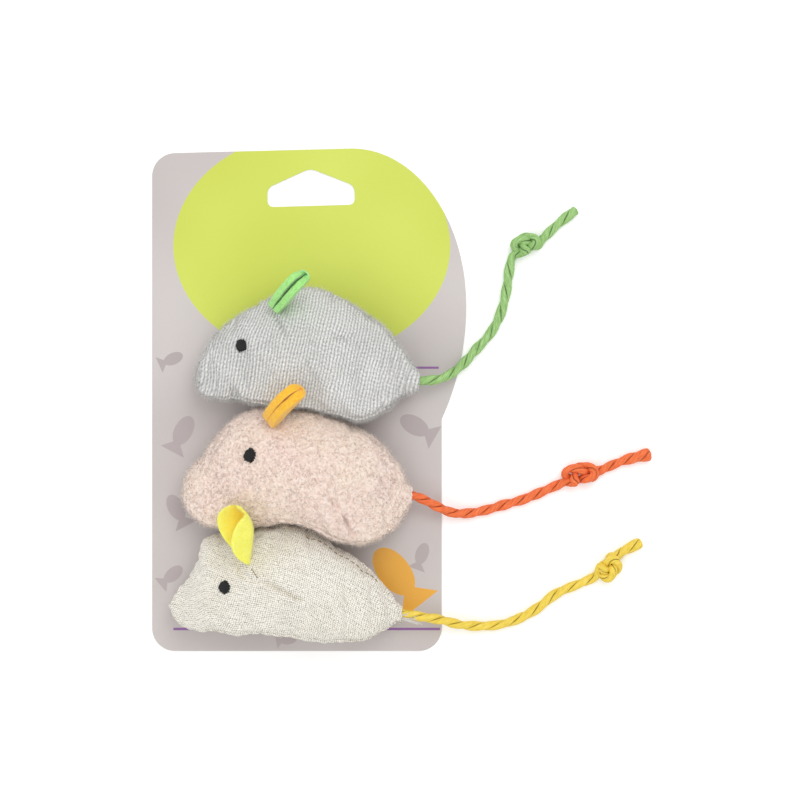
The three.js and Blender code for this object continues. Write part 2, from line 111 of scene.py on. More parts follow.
# Pile and fibres: how many a square metre, and the reach of what presses or clears them
NAP_DENSITY = 1.1 / MM ** 2
LOOP_DENSITY = 2.0 / MM ** 2
HALO_DENSITY = 3.2 / MM ** 2
FUZZ_DENSITY = 2.6 / MM ** 2
LOOP_RADIUS = 0.36 * MM
LOOP_YARN = 0.32 * MM
LOOP_SWEEP = degrees(210)
PRESSED = 0.6 * MM
TAIL_BARE = 3.6 * MM
CREASE_BARE = 0.6 * MM
HAIR_FACES = [
    [0, 2, 1], [0, 1, 4], [0, 4, 3], [1, 2, 5], [1, 5, 4], [2, 0, 3], [2, 3, 5],
    [3, 4, 6], [4, 5, 6], [5, 3, 6],
]

# Ears
EAR_LENGTH = 21.5 * MM
EAR_ROOT = 1 * MM
EAR_END_HALF_WIDTH = 2 * MM
FELT_THICKNESS = 1.5 * MM
THIN_FELT = mm(0.75, -0.75)
FOLD_SHADE = 1.6

# Eyes
EYE_DIAMETER = 4.6 * MM
EYE_THICKNESS = 1.4 * MM
EYE_RAISE = 0.35 * MM
EYE_STITCHES = 9
EYE_STITCH_RADIUS = 0.34 * MM
PAD_ROWS, PAD_COLUMNS = 7, 20

# Cords: the solid's diameter, then the full twisted paper with its two grooves
CORD_DIAMETER = 3.4 * MM
ROPE_RADIUS = 1.95 * MM
ROPE_SWELL = 0.09
ROPE_STEP = 0.32 * MM
ROPE_SIDES = 45
GROOVE_DEPTH = 0.85 * MM
GROOVE_HALF_WIDTH = 0.17
TAIL_INSIDE = 1.6 * MM
KNOT_SWELL = 0.45
KNOT_OPENING = degrees(24)
KNOT_REACH = 6.5 * MM
KNOT_LEAD_SHARES = [(2.3, -1), (1.75, -0.8)]
STUB_REACH = 14 * MM
STUB_ROUNDING = 1.1 * MM

# Thread ties and seam stitches
THREAD_DIAMETER = 0.5 * MM
TIE_SPAN = 9 * MM
TIE_ALONG = 0.06
TIE_BEND = 0.35 * MM
TIE_STEP = 0.12 * MM
TIE_LAY = 1.1 * MM
STITCH_RADIUS = 0.19 * MM
STITCH_SHARE = 0.66
STITCH_STEPS = 7
FRAYED_THREADS = 16
FRAYED_RADIUS = 0.13 * MM

# The mice. Stations run from nose to tail, in thousandths: back along, back up, belly along, belly
# up and girth, as shares of the length, height and thickness. Creases on the camera side and the
# hollows where an ear ends its swing are start, end, half width and depth, with places in shares
# from the middle. An eye is its station, its angle and the lean of its stitches. An ear's lobe is
# half width, share of the length where it ends, skew and sharpness of its outline, and how far it
# opens at the root and at the tip. Angles are in degrees.
MICE = {
    "grey": dict(
        size=mm(86, 50.6, 33), place=mm(-0.3675, 17.17),
        stations=[
            (-497, -150, -497, -196, 80), (-486, -64, -484, -262, 270),
            (-453, 49, -449, -314, 420), (-400, 159, -391, -332, 560),
            (-320, 270, -315, -338, 690), (-226, 364, -226, -366, 810),
            (-115, 452, -119, -392, 910), (19, 500, 6, -402, 980), (153, 424, 139, -455, 1000),
            (273, 300, 242, -492, 940), (375, 152, 340, -424, 760), (451, -23, 424, -322, 480),
            (500, -134, 497, -256, 190),
        ],
        tuck=0.4 * MM,
        creases=[
            ((-0.136, 0.30), (-0.086, 0.145), *mm(0.8, 1.1)),
            ((0.105, 0.14), (0.195, 0.115), *mm(0.9, 1.1)),
            ((-0.30, -0.36), (-0.335, -0.24), *mm(1.6, 1.3)),
            ((0.02, -0.36), (0.05, -0.22), *mm(3.0, 0.7)),
        ],
        hollows=[((-0.104, 0.345), (-0.108, 0.35), *mm(2.8, 0.55))],
        eyes={"left": (0.372, 77, 50), "right": (0.366, -56, 50)},
        eye_share=1.0, thread_end=-100,
        ear=dict(
            seat=(0.505, 40), heading=45, lift=44, roll=-4,
            fold=1.8 * MM, felt=mm(0.8, -1.65), rims=mm(0.4, 0.5),
            lobes=[
                (8.6 * MM, 0.97, 1.1, 0.14, 1, 1),
                (9.6 * MM, 1.0, 1.15, 0.16, 0, 9),
            ],
        ),
        hidden_ear=(6, -88, 8 * MM),
        route=[
            (0.047, 0.0075, 0.0092), (0.0515, 0.0083, 0.008), (0.056, 0.0106, 0.0061),
            (0.0605, 0.0145, 0.004), (0.065, 0.0196, 0.0025), (0.0701, 0.0252, 0.00195),
            (0.0738, 0.0316, 0.00195), (0.0759, 0.038, 0.00195), (0.077, 0.0435, 0.00195),
        ],
        knot=dict(
            place=(0.0848, 0.0602), heading=42, hand=1, radius=3.2 * MM, rise=0.62,
            axis=-6, long=1.1, short=0.72, leads=(-0.1, 0.7),
        ),
        stub=[(0.0975, 0.0689, 0.00195), (0.1043, 0.0742, 0.00195)],
        lay=15.6 * MM, stub_swell=0.12,
    ),
    "pink": dict(
        size=mm(88.2, 52, 34), place=mm(-4.165, -29.205),
        stations=[
            (-499, -118, -499, -162, 80), (-489, -29, -485, -228, 280),
            (-461, 59, -454, -290, 420), (-407, 151, -394, -353, 560),
            (-333, 309, -324, -382, 700), (-246, 434, -233, -376, 820),
            (-142, 496, -133, -350, 920), (-21, 485, -29, -338, 990), (110, 448, 84, -390, 1000),
            (227, 373, 188, -470, 940), (335, 270, 292, -494, 780), (430, 103, 396, -419, 500),
            (478, -44, 465, -287, 310), (500, -86, 497, -204, 180),
        ],
        tuck=0.6 * MM,
        creases=[
            ((0.135, -0.13), (0.20, -0.25), *mm(0.8, 1.2)),
            ((0.20, -0.25), (0.243, -0.42), *mm(0.7, 1.2)),
            ((-0.135, 0.25), (-0.10, 0.12), *mm(1.5, 0.5)),
        ],
        hollows=[
            ((-0.185, -0.215), (-0.25, -0.345), *mm(6.5, 1.75)),
            ((-0.089, 0.385), (-0.092, 0.39), *mm(2.6, 0.3)),
        ],
        eyes={"left": (0.424, 77, 10), "right": (0.42, -56, 10)},
        eye_share=1.12, thread_end=-142,
        ear=dict(
            seat=(0.49, 42), heading=45, lift=36, roll=-14,
            fold=2.3 * MM, felt=mm(0.9, -2.3), rims=mm(0.8, 0.25),
            lobes=[
                (9 * MM, 1.0, 1.15, 0.3, -3, 4),
                (9.4 * MM, 1.0, 1.15, 0.3, -2, 7),
            ],
        ),
        hidden_ear=(-7, -88, 8 * MM),
        route=[
            (0.045, -0.0388, 0.0086), (0.0505, -0.0417, 0.0066), (0.056, -0.0439, 0.0044),
            (0.0625, -0.0441, 0.0026), (0.069, -0.0429, 0.00195), (0.0756, -0.041, 0.00195),
            (0.0823, -0.0392, 0.00195), (0.088, -0.037, 0.00195),
        ],
        knot=dict(
            place=(0.1057, -0.0293), heading=20, hand=1, radius=3.7 * MM, rise=0.6,
            axis=-6, long=1.14, short=0.74, leads=(0.15, 0.25),
        ),
        stub=[(0.1225, -0.0237, 0.0021), (0.1332, -0.021, 0.0023)],
        lay=13.6 * MM, stub_swell=0.3,
    ),
    "white": dict(
        size=mm(89.4, 43.8, 32), place=mm(-8.575, -70.016),
        stations=[
            (-499, -190, -499, -251, 80), (-468, -76, -481, -325, 280),
            (-421, 41, -429, -404, 420), (-384, 177, -369, -435, 540),
            (-352, 371, -297, -435, 660), (-245, 430, -211, -456, 800),
            (-142, 465, -117, -443, 910), (-14, 496, -5, -461, 990), (115, 448, 123, -500, 1000),
            (230, 308, 243, -500, 940), (337, 151, 341, -487, 780), (423, -24, 423, -421, 520),
            (479, -168, 474, -365, 320), (500, -216, 498, -356, 190),
        ],
        tuck=0.8 * MM,
        creases=[
            ((-0.195, 0.17), (-0.145, 0.04), *mm(1.1, 0.8)),
            ((-0.145, 0.05), (-0.06, 0.02), *mm(0.8, 0.7)),
            ((-0.075, 0.025), (0.085, -0.13), *mm(0.8, 1.6)),
            ((-0.20, -0.44), (-0.16, -0.30), *mm(2.2, 0.6)),
            ((0.03, -0.46), (0.02, -0.32), *mm(2.2, 0.5)),
        ],
        hollows=[],
        eyes={"left": (0.37, 90, 0), "right": (0.366, -60, 0)},
        eye_share=1.0, thread_end=-40,
        ear=dict(
            seat=(0.445, 66), heading=95, lift=17, roll=-58,
            fold=3.2 * MM, felt=THIN_FELT, spine=mm(-3, 2), stretch=1.1, end=1.1 * MM,
            lobes=[
                (12.4 * MM, 0.84, 1.3, 0.5, 2, 12),
                (12.8 * MM, 1.0, 1.6, 0.6, 20, 34),
            ],
        ),
        hidden_ear=(-4, -84, 8.6 * MM),
        route=[
            (0.0445, -0.084, 0.0086), (0.051, -0.0852, 0.0066), (0.0585, -0.0873, 0.0042),
            (0.064, -0.088, 0.0028), (0.072, -0.0879, 0.002), (0.079, -0.0863, 0.00195),
            (0.085, -0.0836, 0.00195), (0.0903, -0.0802, 0.00195), (0.0958, -0.0758, 0.00195),
        ],
        knot=dict(
            place=(0.1164, -0.0649), heading=40, hand=-1, radius=3.1 * MM, rise=0.66,
            axis=90, long=1.0, short=0.84, leads=(0.1, 0.3),
        ),
        stub=[(0.1296, -0.0553, 0.00195)],
        lay=16 * MM, stub_swell=0.14,
    ),
}

# Display colours, dark to light; a felt's last one is painted shade inside its fold
CORD_COLOURS = {
    "grey": ("green_cord", (114, 160, 86), (155, 198, 122), (190, 226, 160)),
    "pink": ("orange_cord", (212, 86, 36), (244, 116, 62), (252, 148, 96)),
    "white": ("yellow_cord", (218, 182, 50), (244, 214, 82), (252, 230, 124)),
}
FELT_COLOURS = {
    "grey": ("green_felt", (138, 208, 104), (172, 241, 138), (198, 252, 170), (48, 120, 42)),
    "pink": ("orange_felt", (254, 172, 28), (255, 198, 48), (255, 212, 86), (246, 150, 24)),
    "white": ("yellow_felt", (250, 240, 66), (255, 253, 104), (255, 255, 150), (250, 212, 44)),
}

# Printed shapes: centres, sizes and headings on the card
LIME_CENTRE = mm(1, 60)
LIME_RADII = mm(54, 44)
FISH = [
    (mm(-49, -12), 17 * MM, 62),
    (mm(-52, -42), 15 * MM, 118),
    (mm(-53, 16), 11 * MM, 24),
    (mm(41, -10), 17 * MM, 150),
    (mm(44, -60), 12 * MM, 70),
    (mm(-53, -68), 12 * MM, 40),
    (mm(-8, -93.5), 9 * MM, 10),
]
ORANGE_FISH = (mm(33, -67), 30 * MM, 128)
RULES = [(mm(-1, -89.4), mm(104, 1)), (mm(42, 12.5), mm(17, 0.9))]


# Curves, noise and grids of points

def spline(points, shares):
    """Points at shares of a centripetal Catmull-Rom curve, as the solids use it."""
    points = np.array(points, float)
    padded = np.vstack([2 * points[0] - points[1], points, 2 * points[-1] - points[-2]])
    at = np.clip(np.asarray(shares, float), 0, 1) * (len(points) - 1)
    first = np.minimum(at.astype(int), len(points) - 2)
    part = (at - first)[..., None]
    before, start, end, after = (padded[first + step] for step in range(4))
    steps = [
        np.maximum(np.linalg.norm(b - a, axis=-1, keepdims=True) ** 0.5, 1e-9)
        for a, b in ((before, start), (start, end), (end, after))
    ]

    def tangent(a, b, c, near, far):
        return ((b - a) / near - (c - a) / (near + far) + (c - b) / far) * steps[1]

    leave = tangent(before, start, end, *steps[:2])
    arrive = tangent(start, end, after, *steps[1:])
    return (
        start + leave * part
        + (3 * (end - start) - 2 * leave - arrive) * part ** 2
        + (2 * (start - end) + leave + arrive) * part ** 3
    )


def travelled(points, axis=0):
    """Distance along rows or columns of points, from 0."""
    steps = np.linalg.norm(np.diff(points, axis=axis), axis=-1)
    return np.insert(np.cumsum(steps, axis=axis), 0, 0, axis=axis)


def spaced(points, spacing):
    """A line of points, laid out again at even spacing."""
    along = travelled(points)
    at = np.linspace(0, along[-1], max(int(along[-1] / spacing), 4) + 1)
    return np.stack([np.interp(at, along, points[:, axis]) for axis in range(3)], axis=1)


def lumps(points, size, seed):
    """Smooth noise from -1 to 1 whose lumps are that size."""
    lattice = np.random.default_rng(seed).uniform(-1, 1, (32, 32, 32))
    at = np.asarray(points) / size + 100.37
    cell = np.floor(at).astype(int)
    part = at - cell
    part = part * part * (3 - 2 * part)
    total = np.zeros(at.shape[:-1])
    for corner in np.ndindex(2, 2, 2):
        weight = np.prod(np.where(corner, part, 1 - part), axis=-1)
        total += weight * lattice[tuple(np.moveaxis((cell + corner) % 32, -1, 0))]
    return total


def lumpy(points, *waves):
    """Waves of lumps, each of a height and a size in millimetres and a seed."""
    return sum(height * MM * lumps(points, size * MM, seed) for height, size, seed in waves)


def cubic(values, at, wrap):
    """Values between the rows of an array, by smooth interpolation."""
    first = np.floor(at).astype(int)
    part = (at - first).reshape((-1,) + (1,) * (values.ndim - 1))
    weights = (
        -0.5 * part + part ** 2 - 0.5 * part ** 3,
        1 - 2.5 * part ** 2 + 1.5 * part ** 3,
        0.5 * part + 2 * part ** 2 - 1.5 * part ** 3,
        -0.5 * part ** 2 + 0.5 * part ** 3,
    )
    total = 0
    for step, weight in enumerate(weights):
        index = first + step - 1
        index = index % len(values) if wrap else np.clip(index, 0, len(values) - 1)
        total = total + weight * values[index]
    return total


def unit(vectors):
    return vectors / np.maximum(np.linalg.norm(vectors, axis=-1, keepdims=True), 1e-12)


def swung(first, second, angle):
    """The direction at an angle from one direction towards another, square to it."""
    return first * np.cos(angle) + second * np.sin(angle)


def angles_round(count):
    """Angles at an even step round a whole turn."""
    return np.arange(count) / count * TURN


def grid_normals(grid, closed=False):
    """The outward normals of a grid of points, rows along and columns round."""
    if closed:
        return grid_normals(closed_grid(grid))[:, :-1]
    return unit(np.cross(np.gradient(grid, axis=1), np.gradient(grid, axis=0)))


def closed_grid(grid):
    """A grid with its first column again at its end."""
    return np.concatenate([grid, grid[:, :1]], axis=1)


def grid_cells(grid):
    """The two edges and the area of each cell of a grid."""
    edge_along = grid[1:, :-1] - grid[:-1, :-1]
    edge_round = grid[:-1, 1:] - grid[:-1, :-1]
    return edge_along, edge_round, np.linalg.norm(np.cross(edge_along, edge_round), axis=2).ravel()


def path_frames(path):
    """Two directions square to a path at each point, turning as little as they can."""
    forward = unit(np.gradient(path, axis=0))
    aside = np.zeros_like(forward)
    start = np.cross(forward[0], (0, 0, 1))
    if np.linalg.norm(start) < 0.1:
        start = np.cross(forward[0], (0, 1, 0))
    aside[0] = unit(start)
    for index in range(1, len(path)):
        carried = aside[index - 1] - forward[index] * (aside[index - 1] @ forward[index])
        aside[index] = unit(carried)
    return aside, np.cross(forward, aside)


# Meshes

def quads(rows, columns, closed=False):
    """Faces of a grid of points, wound so that the columns' sweep faces out."""
    row = np.arange(rows - 1)[:, None] * columns
    column = np.arange(columns if closed else columns - 1)
    near, aside = row + column, row + (column + 1) % columns
    return np.stack([near, aside, aside + columns, near + columns], axis=-1).reshape(-1, 4)


def tube_faces(rows, columns):
    """Faces of a closed grid of points, with a lid on each end."""
    last = (rows - 1) * columns
    lids = [list(range(columns))[::-1], list(range(last, last + columns))]
    return quads(rows, columns, closed=True).tolist() + lids


def tube(path, radii, sides):
    """A closed round tube down a path: points and faces."""
    aside, upward = path_frames(path)
    ring = swung(aside[:, None], upward[:, None], angles_round(sides)[None, :, None])
    points = path[:, None] + ring * np.broadcast_to(radii, len(path))[:, None, None]
    return points.reshape(-1, 3), tube_faces(len(path), sides)


def added(name, data):
    """A new object of the scene."""
    item = bpy.data.objects.new(name, data)
    bpy.context.scene.collection.objects.link(item)
    return item


def set_up(item, **settings):
    """The item, with these settings."""
    for key, value in settings.items():
        setattr(item, key, value)
    return item


def mesh_object(name, points, faces, material, uv=None, values=None):
    """A mesh object; values are named numbers for each point."""
    mesh = bpy.data.meshes.new(name)
    mesh.from_pydata(np.asarray(points).reshape(-1, 3).tolist(), [], faces)
    mesh.polygons.foreach_set("use_smooth", np.ones(len(mesh.polygons), bool))
    if uv is not None:
        loop_points = np.zeros(len(mesh.loops), np.int32)
        mesh.loops.foreach_get("vertex_index", loop_points)
        layer = mesh.uv_layers.new(name="cloth")
        layer.data.foreach_set("uv", np.asarray(uv, np.float32)[loop_points].ravel())
    for key, numbers in (values or {}).items():
        attribute = mesh.attributes.new(key, "FLOAT", "POINT")
        attribute.data.foreach_set("value", np.asarray(numbers, np.float32).ravel())
    mesh.materials.append(material)
    mesh.update()
    return added(name, mesh)


def make_piece(name, points, faces, material, *nodes, rides="carded_mice", **data):
    """A piece that rides on a body, takes its material's slot and stands for these nodes."""
    piece = mesh_object(name, points, faces, material, **data)
    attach(piece, rides)
    if nodes:
        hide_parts(*nodes)
    return piece


def make_threads(name, parts, material, *nodes):
    """Several lists of points and faces as one piece, clear of the surface below."""
    points, faces, count = [], [], 0
    for part_points, part_faces in parts:
        points.append(part_points)
        faces += [[index + count for index in face] for face in part_faces]
        count += len(part_points)
    points = np.vstack(points)
    points[:, 2] = np.maximum(points[:, 2], 0.005 * MM)
    make_piece(name, points, faces, material, *nodes)


# Finishes

def colour(shade):
    """A node's colour, from display values up to 255 or from one linear level of grey."""
    if isinstance(shade, (int, float)):
        return (shade, shade, shade, 1)
    values = [channel / 255 for channel in shade]
    return (*[v / 12.92 if v <= 0.04045 else ((v + 0.055) / 1.055) ** 2.4 for v in values], 1)


class Finish:
    """A material of nodes round one shader."""

    def __init__(self, slot, **sockets):
        self.material = bpy.data.materials.new(f"{slot}_finish")
        self.material["slot"] = slot
        self.material.use_nodes = True
        self.tree = self.material.node_tree
        self.shader = self.tree.nodes["Principled BSDF"]
        for socket, value in sockets.items():
            title = socket.replace("_", " ").title().replace("Ior", "IOR")
            self.put(self.shader.inputs[title], value)

    def put(self, socket, value):
        if isinstance(value, bpy.types.NodeSocket):
            self.tree.links.new(value, socket)
        else:
            socket.default_value = colour(value) if socket.type == "RGBA" else value

    def add(self, kind, inputs=None, **settings):
        node = set_up(self.tree.nodes.new("ShaderNode" + kind), **settings)
        for key, value in (inputs or {}).items():
            self.put(node.inputs[key], value)
        return node

    def math(self, operation, *values):
        return self.add("Math", dict(enumerate(values)), operation=operation).outputs[0]

    def vector(self, operation, *values):
        return self.add("VectorMath", dict(enumerate(values)), operation=operation).outputs[0]

    def sum(self, first, *others):
        """The sum of values, each times its share."""
        total = self.math("MULTIPLY", *first)
        for value, share in others:
            total = self.math("MULTIPLY_ADD", value, share, total)
        return total

    def place(self):
        return self.add("TexCoord").outputs["Object"]

    def uv(self):
        return self.add("UVMap", uv_map="cloth").outputs[0]

    def value(self, name):
        return self.add("Attribute", attribute_name=name).outputs["Fac"]

    def parts(self, vector):
        return self.add("SeparateXYZ", {0: vector}).outputs

    def noise(self, size, detail=2, roughness=0.5, over=None, stretch=(1, 1, 1)):
        """Noise of that size, over the object's own place or over its cloth."""
        vector = self.vector("MULTIPLY", self.place() if over is None else over, stretch)
        inputs = {"Vector": vector, "Scale": 1 / size, "Detail": detail, "Roughness": roughness}
        return self.add("TexNoise", inputs).outputs[0]

    def ramp(self, value, *stops):
        node = self.add("ValToRGB", {0: value})
        marks = node.color_ramp.elements
        while len(marks) < len(stops):
            marks.new(0.5)
        for mark, (position, shade) in zip(marks, stops):
            mark.position = position
            mark.color = colour(shade)
        return node.outputs[0]

    def mix(self, share, first, second, blend="MIX"):
        inputs = {"Factor": share, 6: first, 7: second}
        node = self.add("Mix", data_type="RGBA", blend_type=blend, clamp_factor=True)
        for key, value in inputs.items():
            self.put(node.inputs[key], value)
        return node.outputs[2]

    def darker(self, shade, share, value, *stops):
        """A shade times a ramp of a value, by a share."""
        return self.mix(share, shade, self.ramp(value, *stops), "MULTIPLY")

    def done(self, shade, height, distance, strength):
        """The material, with this shade and a bump that follows a height."""
        node = self.add("Bump", {"Height": height, "Distance": distance, "Strength": strength})
        self.put(self.shader.inputs["Normal"], node.outputs[0])
        self.put(self.shader.inputs["Base Color"], shade)
        return self.material


def velour_finish():
    finish = Finish("grey_velour", roughness=0.9, sheen_weight=0.3, sheen_roughness=0.5)
    across, round_it, _ = finish.parts(finish.uv())
    wave = finish.math("COSINE", finish.math("MULTIPLY", across, TURN))
    rib = finish.math("MULTIPLY_ADD", wave, 0.5, 0.5)
    odd = finish.add("TexWhiteNoise", {"W": finish.math("ROUND", across)}, noise_dimensions="1D")
    stitch = finish.math("SINE", finish.sum((odd.outputs[0], TURN), (round_it, TURN / 1.6)))
    yarn = finish.noise(0.6, 3, 0.6, finish.uv(), (1.3, 0.9, 1))
    cloud = finish.noise(14 * MM)
    speckle = finish.noise(0.35 * MM, 2, 0.7)
    # Darker where the ribs and yarns sink: the yarn's own tone, and painted shade in the rib
    # grooves
    depth = finish.sum((yarn, 0.7), (rib, 0.25), (stitch, 0.035))
    shade = finish.ramp(
        depth, (0.24, (148, 150, 152)), (0.46, (214, 213, 211)), (0.66, (254, 253, 250))
    )
    shade = finish.darker(shade, 0.4, cloud, (0.3, 0.75), (0.62, 1))
    shade = finish.darker(shade, 0.4, speckle, (0.3, 0.5), (0.6, 1))
    return finish.done(shade, finish.math("ADD", depth, speckle), 0.28 * MM, 0.7)


def pile_finish():
    finish = Finish("pink_pile", roughness=0.95, sheen_weight=0.5, sheen_roughness=0.6)
    curl = finish.noise(0.7 * MM, 3, 0.65)
    # The pile is darker where its curls sink: painted shade in the crevices, from the cloth's depth
    # and the curls' own height
    shade = finish.ramp(
        finish.value("depth"),
        (0.0, (212, 190, 177)), (0.4, (240, 223, 213)), (1.0, (254, 247, 242)),
    )
    shade = finish.darker(shade, 0.3, curl, (0.34, (214, 192, 178)), (0.62, 1))
    cloud = finish.noise(18 * MM)
    shade = finish.darker(shade, 1.0, cloud, (0.3, (255, 250, 242)), (0.7, (253, 244, 242)))
    return finish.done(shade, curl, 0.4 * MM, 0.7)


def canvas_finish():
    finish = Finish("white_canvas", roughness=0.9, sheen_weight=0.15)
    wobble = finish.noise(1.8 * MM)
    across, round_it, _ = finish.parts(finish.uv())
    warp = finish.math("MULTIPLY_ADD", wobble, 1.5, across)
    weft = finish.math("MULTIPLY_ADD", wobble, -1.1, round_it)
    warp, weft = (
        finish.math("SINE", finish.math("MULTIPLY", thread, TURN / 2)) for thread in (warp, weft)
    )
    checker = finish.math("MULTIPLY", warp, weft)
    over = finish.math("ABSOLUTE", checker)
    slub = finish.noise(1.4, 2, 0.5, finish.uv(), (0.16, 1, 1))
    yarn = finish.noise(1.0, 3, 0.7, finish.uv(), (0.7, 1.1, 1))
    # Darker where the threads part and sink: painted shade in the weave's gaps, with the yarn's own
    # slubs and tone
    depth = finish.sum((yarn, 0.5), (over, 0.32), (slub, 0.19))
    shade = finish.ramp(
        depth, (0.28, (140, 136, 121)), (0.45, (230, 226, 215)), (0.6, (254, 250, 243))
    )
    shade = finish.darker(shade, 0.3, finish.noise(20 * MM), (0.3, (236, 230, 218)), (0.7, 1))
    return finish.done(shade, finish.math("MULTIPLY_ADD", checker, 0.35, depth), 0.22 * MM, 0.8)


def felt_finish(slot, dark, plain, light, painted_fold_shade):
    finish = Finish(slot, roughness=0.92, sheen_weight=0.4, sheen_roughness=0.5)
    matted = finish.noise(0.9 * MM, 4, 0.7)
    tuft = finish.noise(0.35 * MM, 3, 0.7, stretch=(1, 2.6, 1.4))
    shade = finish.ramp(matted, (0.25, dark), (0.5, plain), (0.78, light))
    shade = finish.darker(shade, 0.16, tuft, (0.3, 0.7), (0.65, 1))
    # Inside the fold, the felt's colour is mixed towards painted shade
    shade = finish.mix(finish.value("fold"), shade, painted_fold_shade)
    return finish.done(shade, finish.math("ADD", matted, tuft), 0.3 * MM, 0.6)


def paper_cord_finish(slot, dark, plain, light):
    finish = Finish(slot, roughness=0.62, specular_ior_level=0.35)
    streak = finish.noise(1.0, 4, 0.65, finish.uv(), (0.35, 9, 1))
    shade = finish.ramp(streak, (0.25, dark), (0.5, plain), (0.75, light))
    shade = finish.darker(shade, 0.25, finish.noise(2.4 * MM), (0.3, 0.7), (0.7, 1))
    # Near the grooves between the plies the cord is darkened: painted shade
    shade = finish.darker(shade, 1.0, finish.value("groove"), (0.3, 1), (0.6, 0.6), (0.95, 0.16))
    return finish.done(shade, streak, 0.25 * MM, 0.7)


def thread_finish(slot, plain, light, sheen=0.15):
    finish = Finish(slot, roughness=0.65, sheen_weight=sheen)
    strand = finish.noise(0.25 * MM, 3, 0.6, stretch=(1, 3, 1))
    return finish.done(finish.ramp(strand, (0.35, plain), (0.7, light)), strand, 0.12 * MM, 0.6)


def stuffing_finish():
    finish = Finish("stuffing", roughness=1.0, sheen_weight=0.3)
    wisp = finish.noise(1.2 * MM, 4, 0.7)
    shade = finish.ramp(wisp, (0.3, (222, 221, 215)), (0.7, (248, 248, 244)))
    return finish.done(shade, wisp, 0.6 * MM, 0.8)


class Print(Finish):
    """Printed shapes in the card's own plane, 1 inside and 0 outside."""

    def local(self, centre, heading=0.0):
        """Places from a shape's centre, along and aside of its heading."""
        flat = self.vector("MULTIPLY", self.place(), (1, 1, 0))
        offset = self.vector("SUBTRACT", flat, (*centre, 0))
        inputs = {"Vector": offset, "Axis": (0, 0, 1), "Angle": -degrees(heading)}
        return self.add("VectorRotate", inputs, rotation_type="AXIS_ANGLE").outputs[0]

    def oval(self, local, radii):
        share = self.vector("MULTIPLY", local, (1 / radii[0], 1 / radii[1], 0))
        reach = self.add("VectorMath", {0: share}, operation="LENGTH").outputs["Value"]
        return self.math("LESS_THAN", reach, 1.0)

    def within(self, value, limit):
        return self.math("LESS_THAN", self.math("ABSOLUTE", value), limit)

    def fish(self, centre, length, heading):
        """A plain fish: an oval body with a three-cornered tail."""
        local = self.local(centre, heading)
        along, aside, _ = self.parts(local)
        fin = self.within(aside, self.math("MULTIPLY_ADD", along, -0.95, -0.22 * length))
        fin = self.math("MULTIPLY", fin, self.math("GREATER_THAN", along, -0.55 * length))
        return self.math("MAXIMUM", self.oval(local, (0.36 * length, 0.21 * length)), fin)

    def rule(self, centre, size):
        across, up, _ = self.parts(self.local(centre))
        return self.math("MULTIPLY", self.within(across, size[0] / 2), self.within(up, size[1] / 2))


def card_finish():
    finish = Print(
        "card_print", roughness=0.42, specular_ior_level=0.4, coat_weight=0.12, coat_roughness=0.3
    )
    tone = finish.noise(60 * MM, 1)
    board = finish.ramp(tone, (0.3, (194, 186, 184)), (0.7, (207, 200, 198)))
    lime = finish.ramp(tone, (0.35, (201, 212, 80)), (0.65, (209, 221, 92)))
    prints = [(finish.fish(*fish), (180, 169, 169)) for fish in FISH]
    prints.append((finish.oval(finish.local(LIME_CENTRE), LIME_RADII), lime))
    prints.append((finish.fish(*ORANGE_FISH), (234, 172, 62)))
    prints += [(finish.rule(*rule), (146, 98, 160)) for rule in RULES]
    for shape, ink in prints:
        board = finish.mix(shape, board, ink)
    grain = finish.noise(0.5 * MM, 3, 0.6, stretch=(1, 2.2, 1))
    board = finish.darker(board, 0.06, grain, (0.3, 0.5), (0.7, 1))
    raw = finish.ramp(grain, (0.25, (202, 198, 190)), (0.75, (226, 223, 217)))
    facing = finish.parts(finish.add("TexCoord").outputs["Normal"])[2]
    shade = finish.mix(finish.math("GREATER_THAN", facing, 0.5), raw, board)
    return finish.done(shade, grain, 0.03 * MM, 0.25)


# Camera, floor and light

def make_view():
    data = set_up(
        bpy.data.cameras.new("camera"), sensor_width=SENSOR_WIDTH, clip_start=CLIP_START,
        lens=SENSOR_WIDTH / FIELD_WIDTH * CAMERA_HEIGHT,
    )
    camera = added("camera", data)
    camera.location = (CAMERA_X, CAMERA_Y, CAMERA_HEIGHT + CARD_TOP)
    bpy.context.scene.camera = camera


def make_studio():
    finish = Finish("floor", roughness=0.9, specular_ior_level=0.1, base_color=(252, 252, 252))
    path = finish.add("LightPath").outputs
    direct = finish.math("MAXIMUM", path["Is Camera Ray"], path["Is Glossy Ray"])
    direct = finish.math("MAXIMUM", direct, path["Is Transmission Ray"])
    finish.put(finish.shader.inputs["Emission Color"], 1)
    lift = finish.math("MULTIPLY", direct, FLOOR_LIFT)
    finish.put(finish.shader.inputs["Emission Strength"], lift)
    corners = [(x * FLOOR_HALF, y * FLOOR_HALF, -FLOOR_DROP) for x, y in (
        (-1, -1), (1, -1), (1, 1), (-1, 1)
    )]
    mesh_object("floor", corners, [[0, 1, 2, 3]], finish.material)
    world = bpy.data.worlds.new("studio")
    world.use_nodes = True
    sky = world.node_tree.nodes["Background"].inputs
    sky["Color"].default_value = (1, 1, 1, 1)
    sky["Strength"].default_value = SKY_STRENGTH
    bpy.context.scene.world = world
    for name, place, size, power in LIGHTS:
        data = bpy.data.lights.new(name, "AREA")
        lamp = added(name, set_up(data, shape="DISK", size=size, energy=power))
        lamp.location = place
        lamp.rotation_mode = "QUATERNION"
        lamp.rotation_quaternion = (Vector(LIGHT_AIM) - Vector(place)).to_track_quat("-Z", "Y")
    bpy.context.scene.view_settings.view_transform = "Standard"


# Bodies

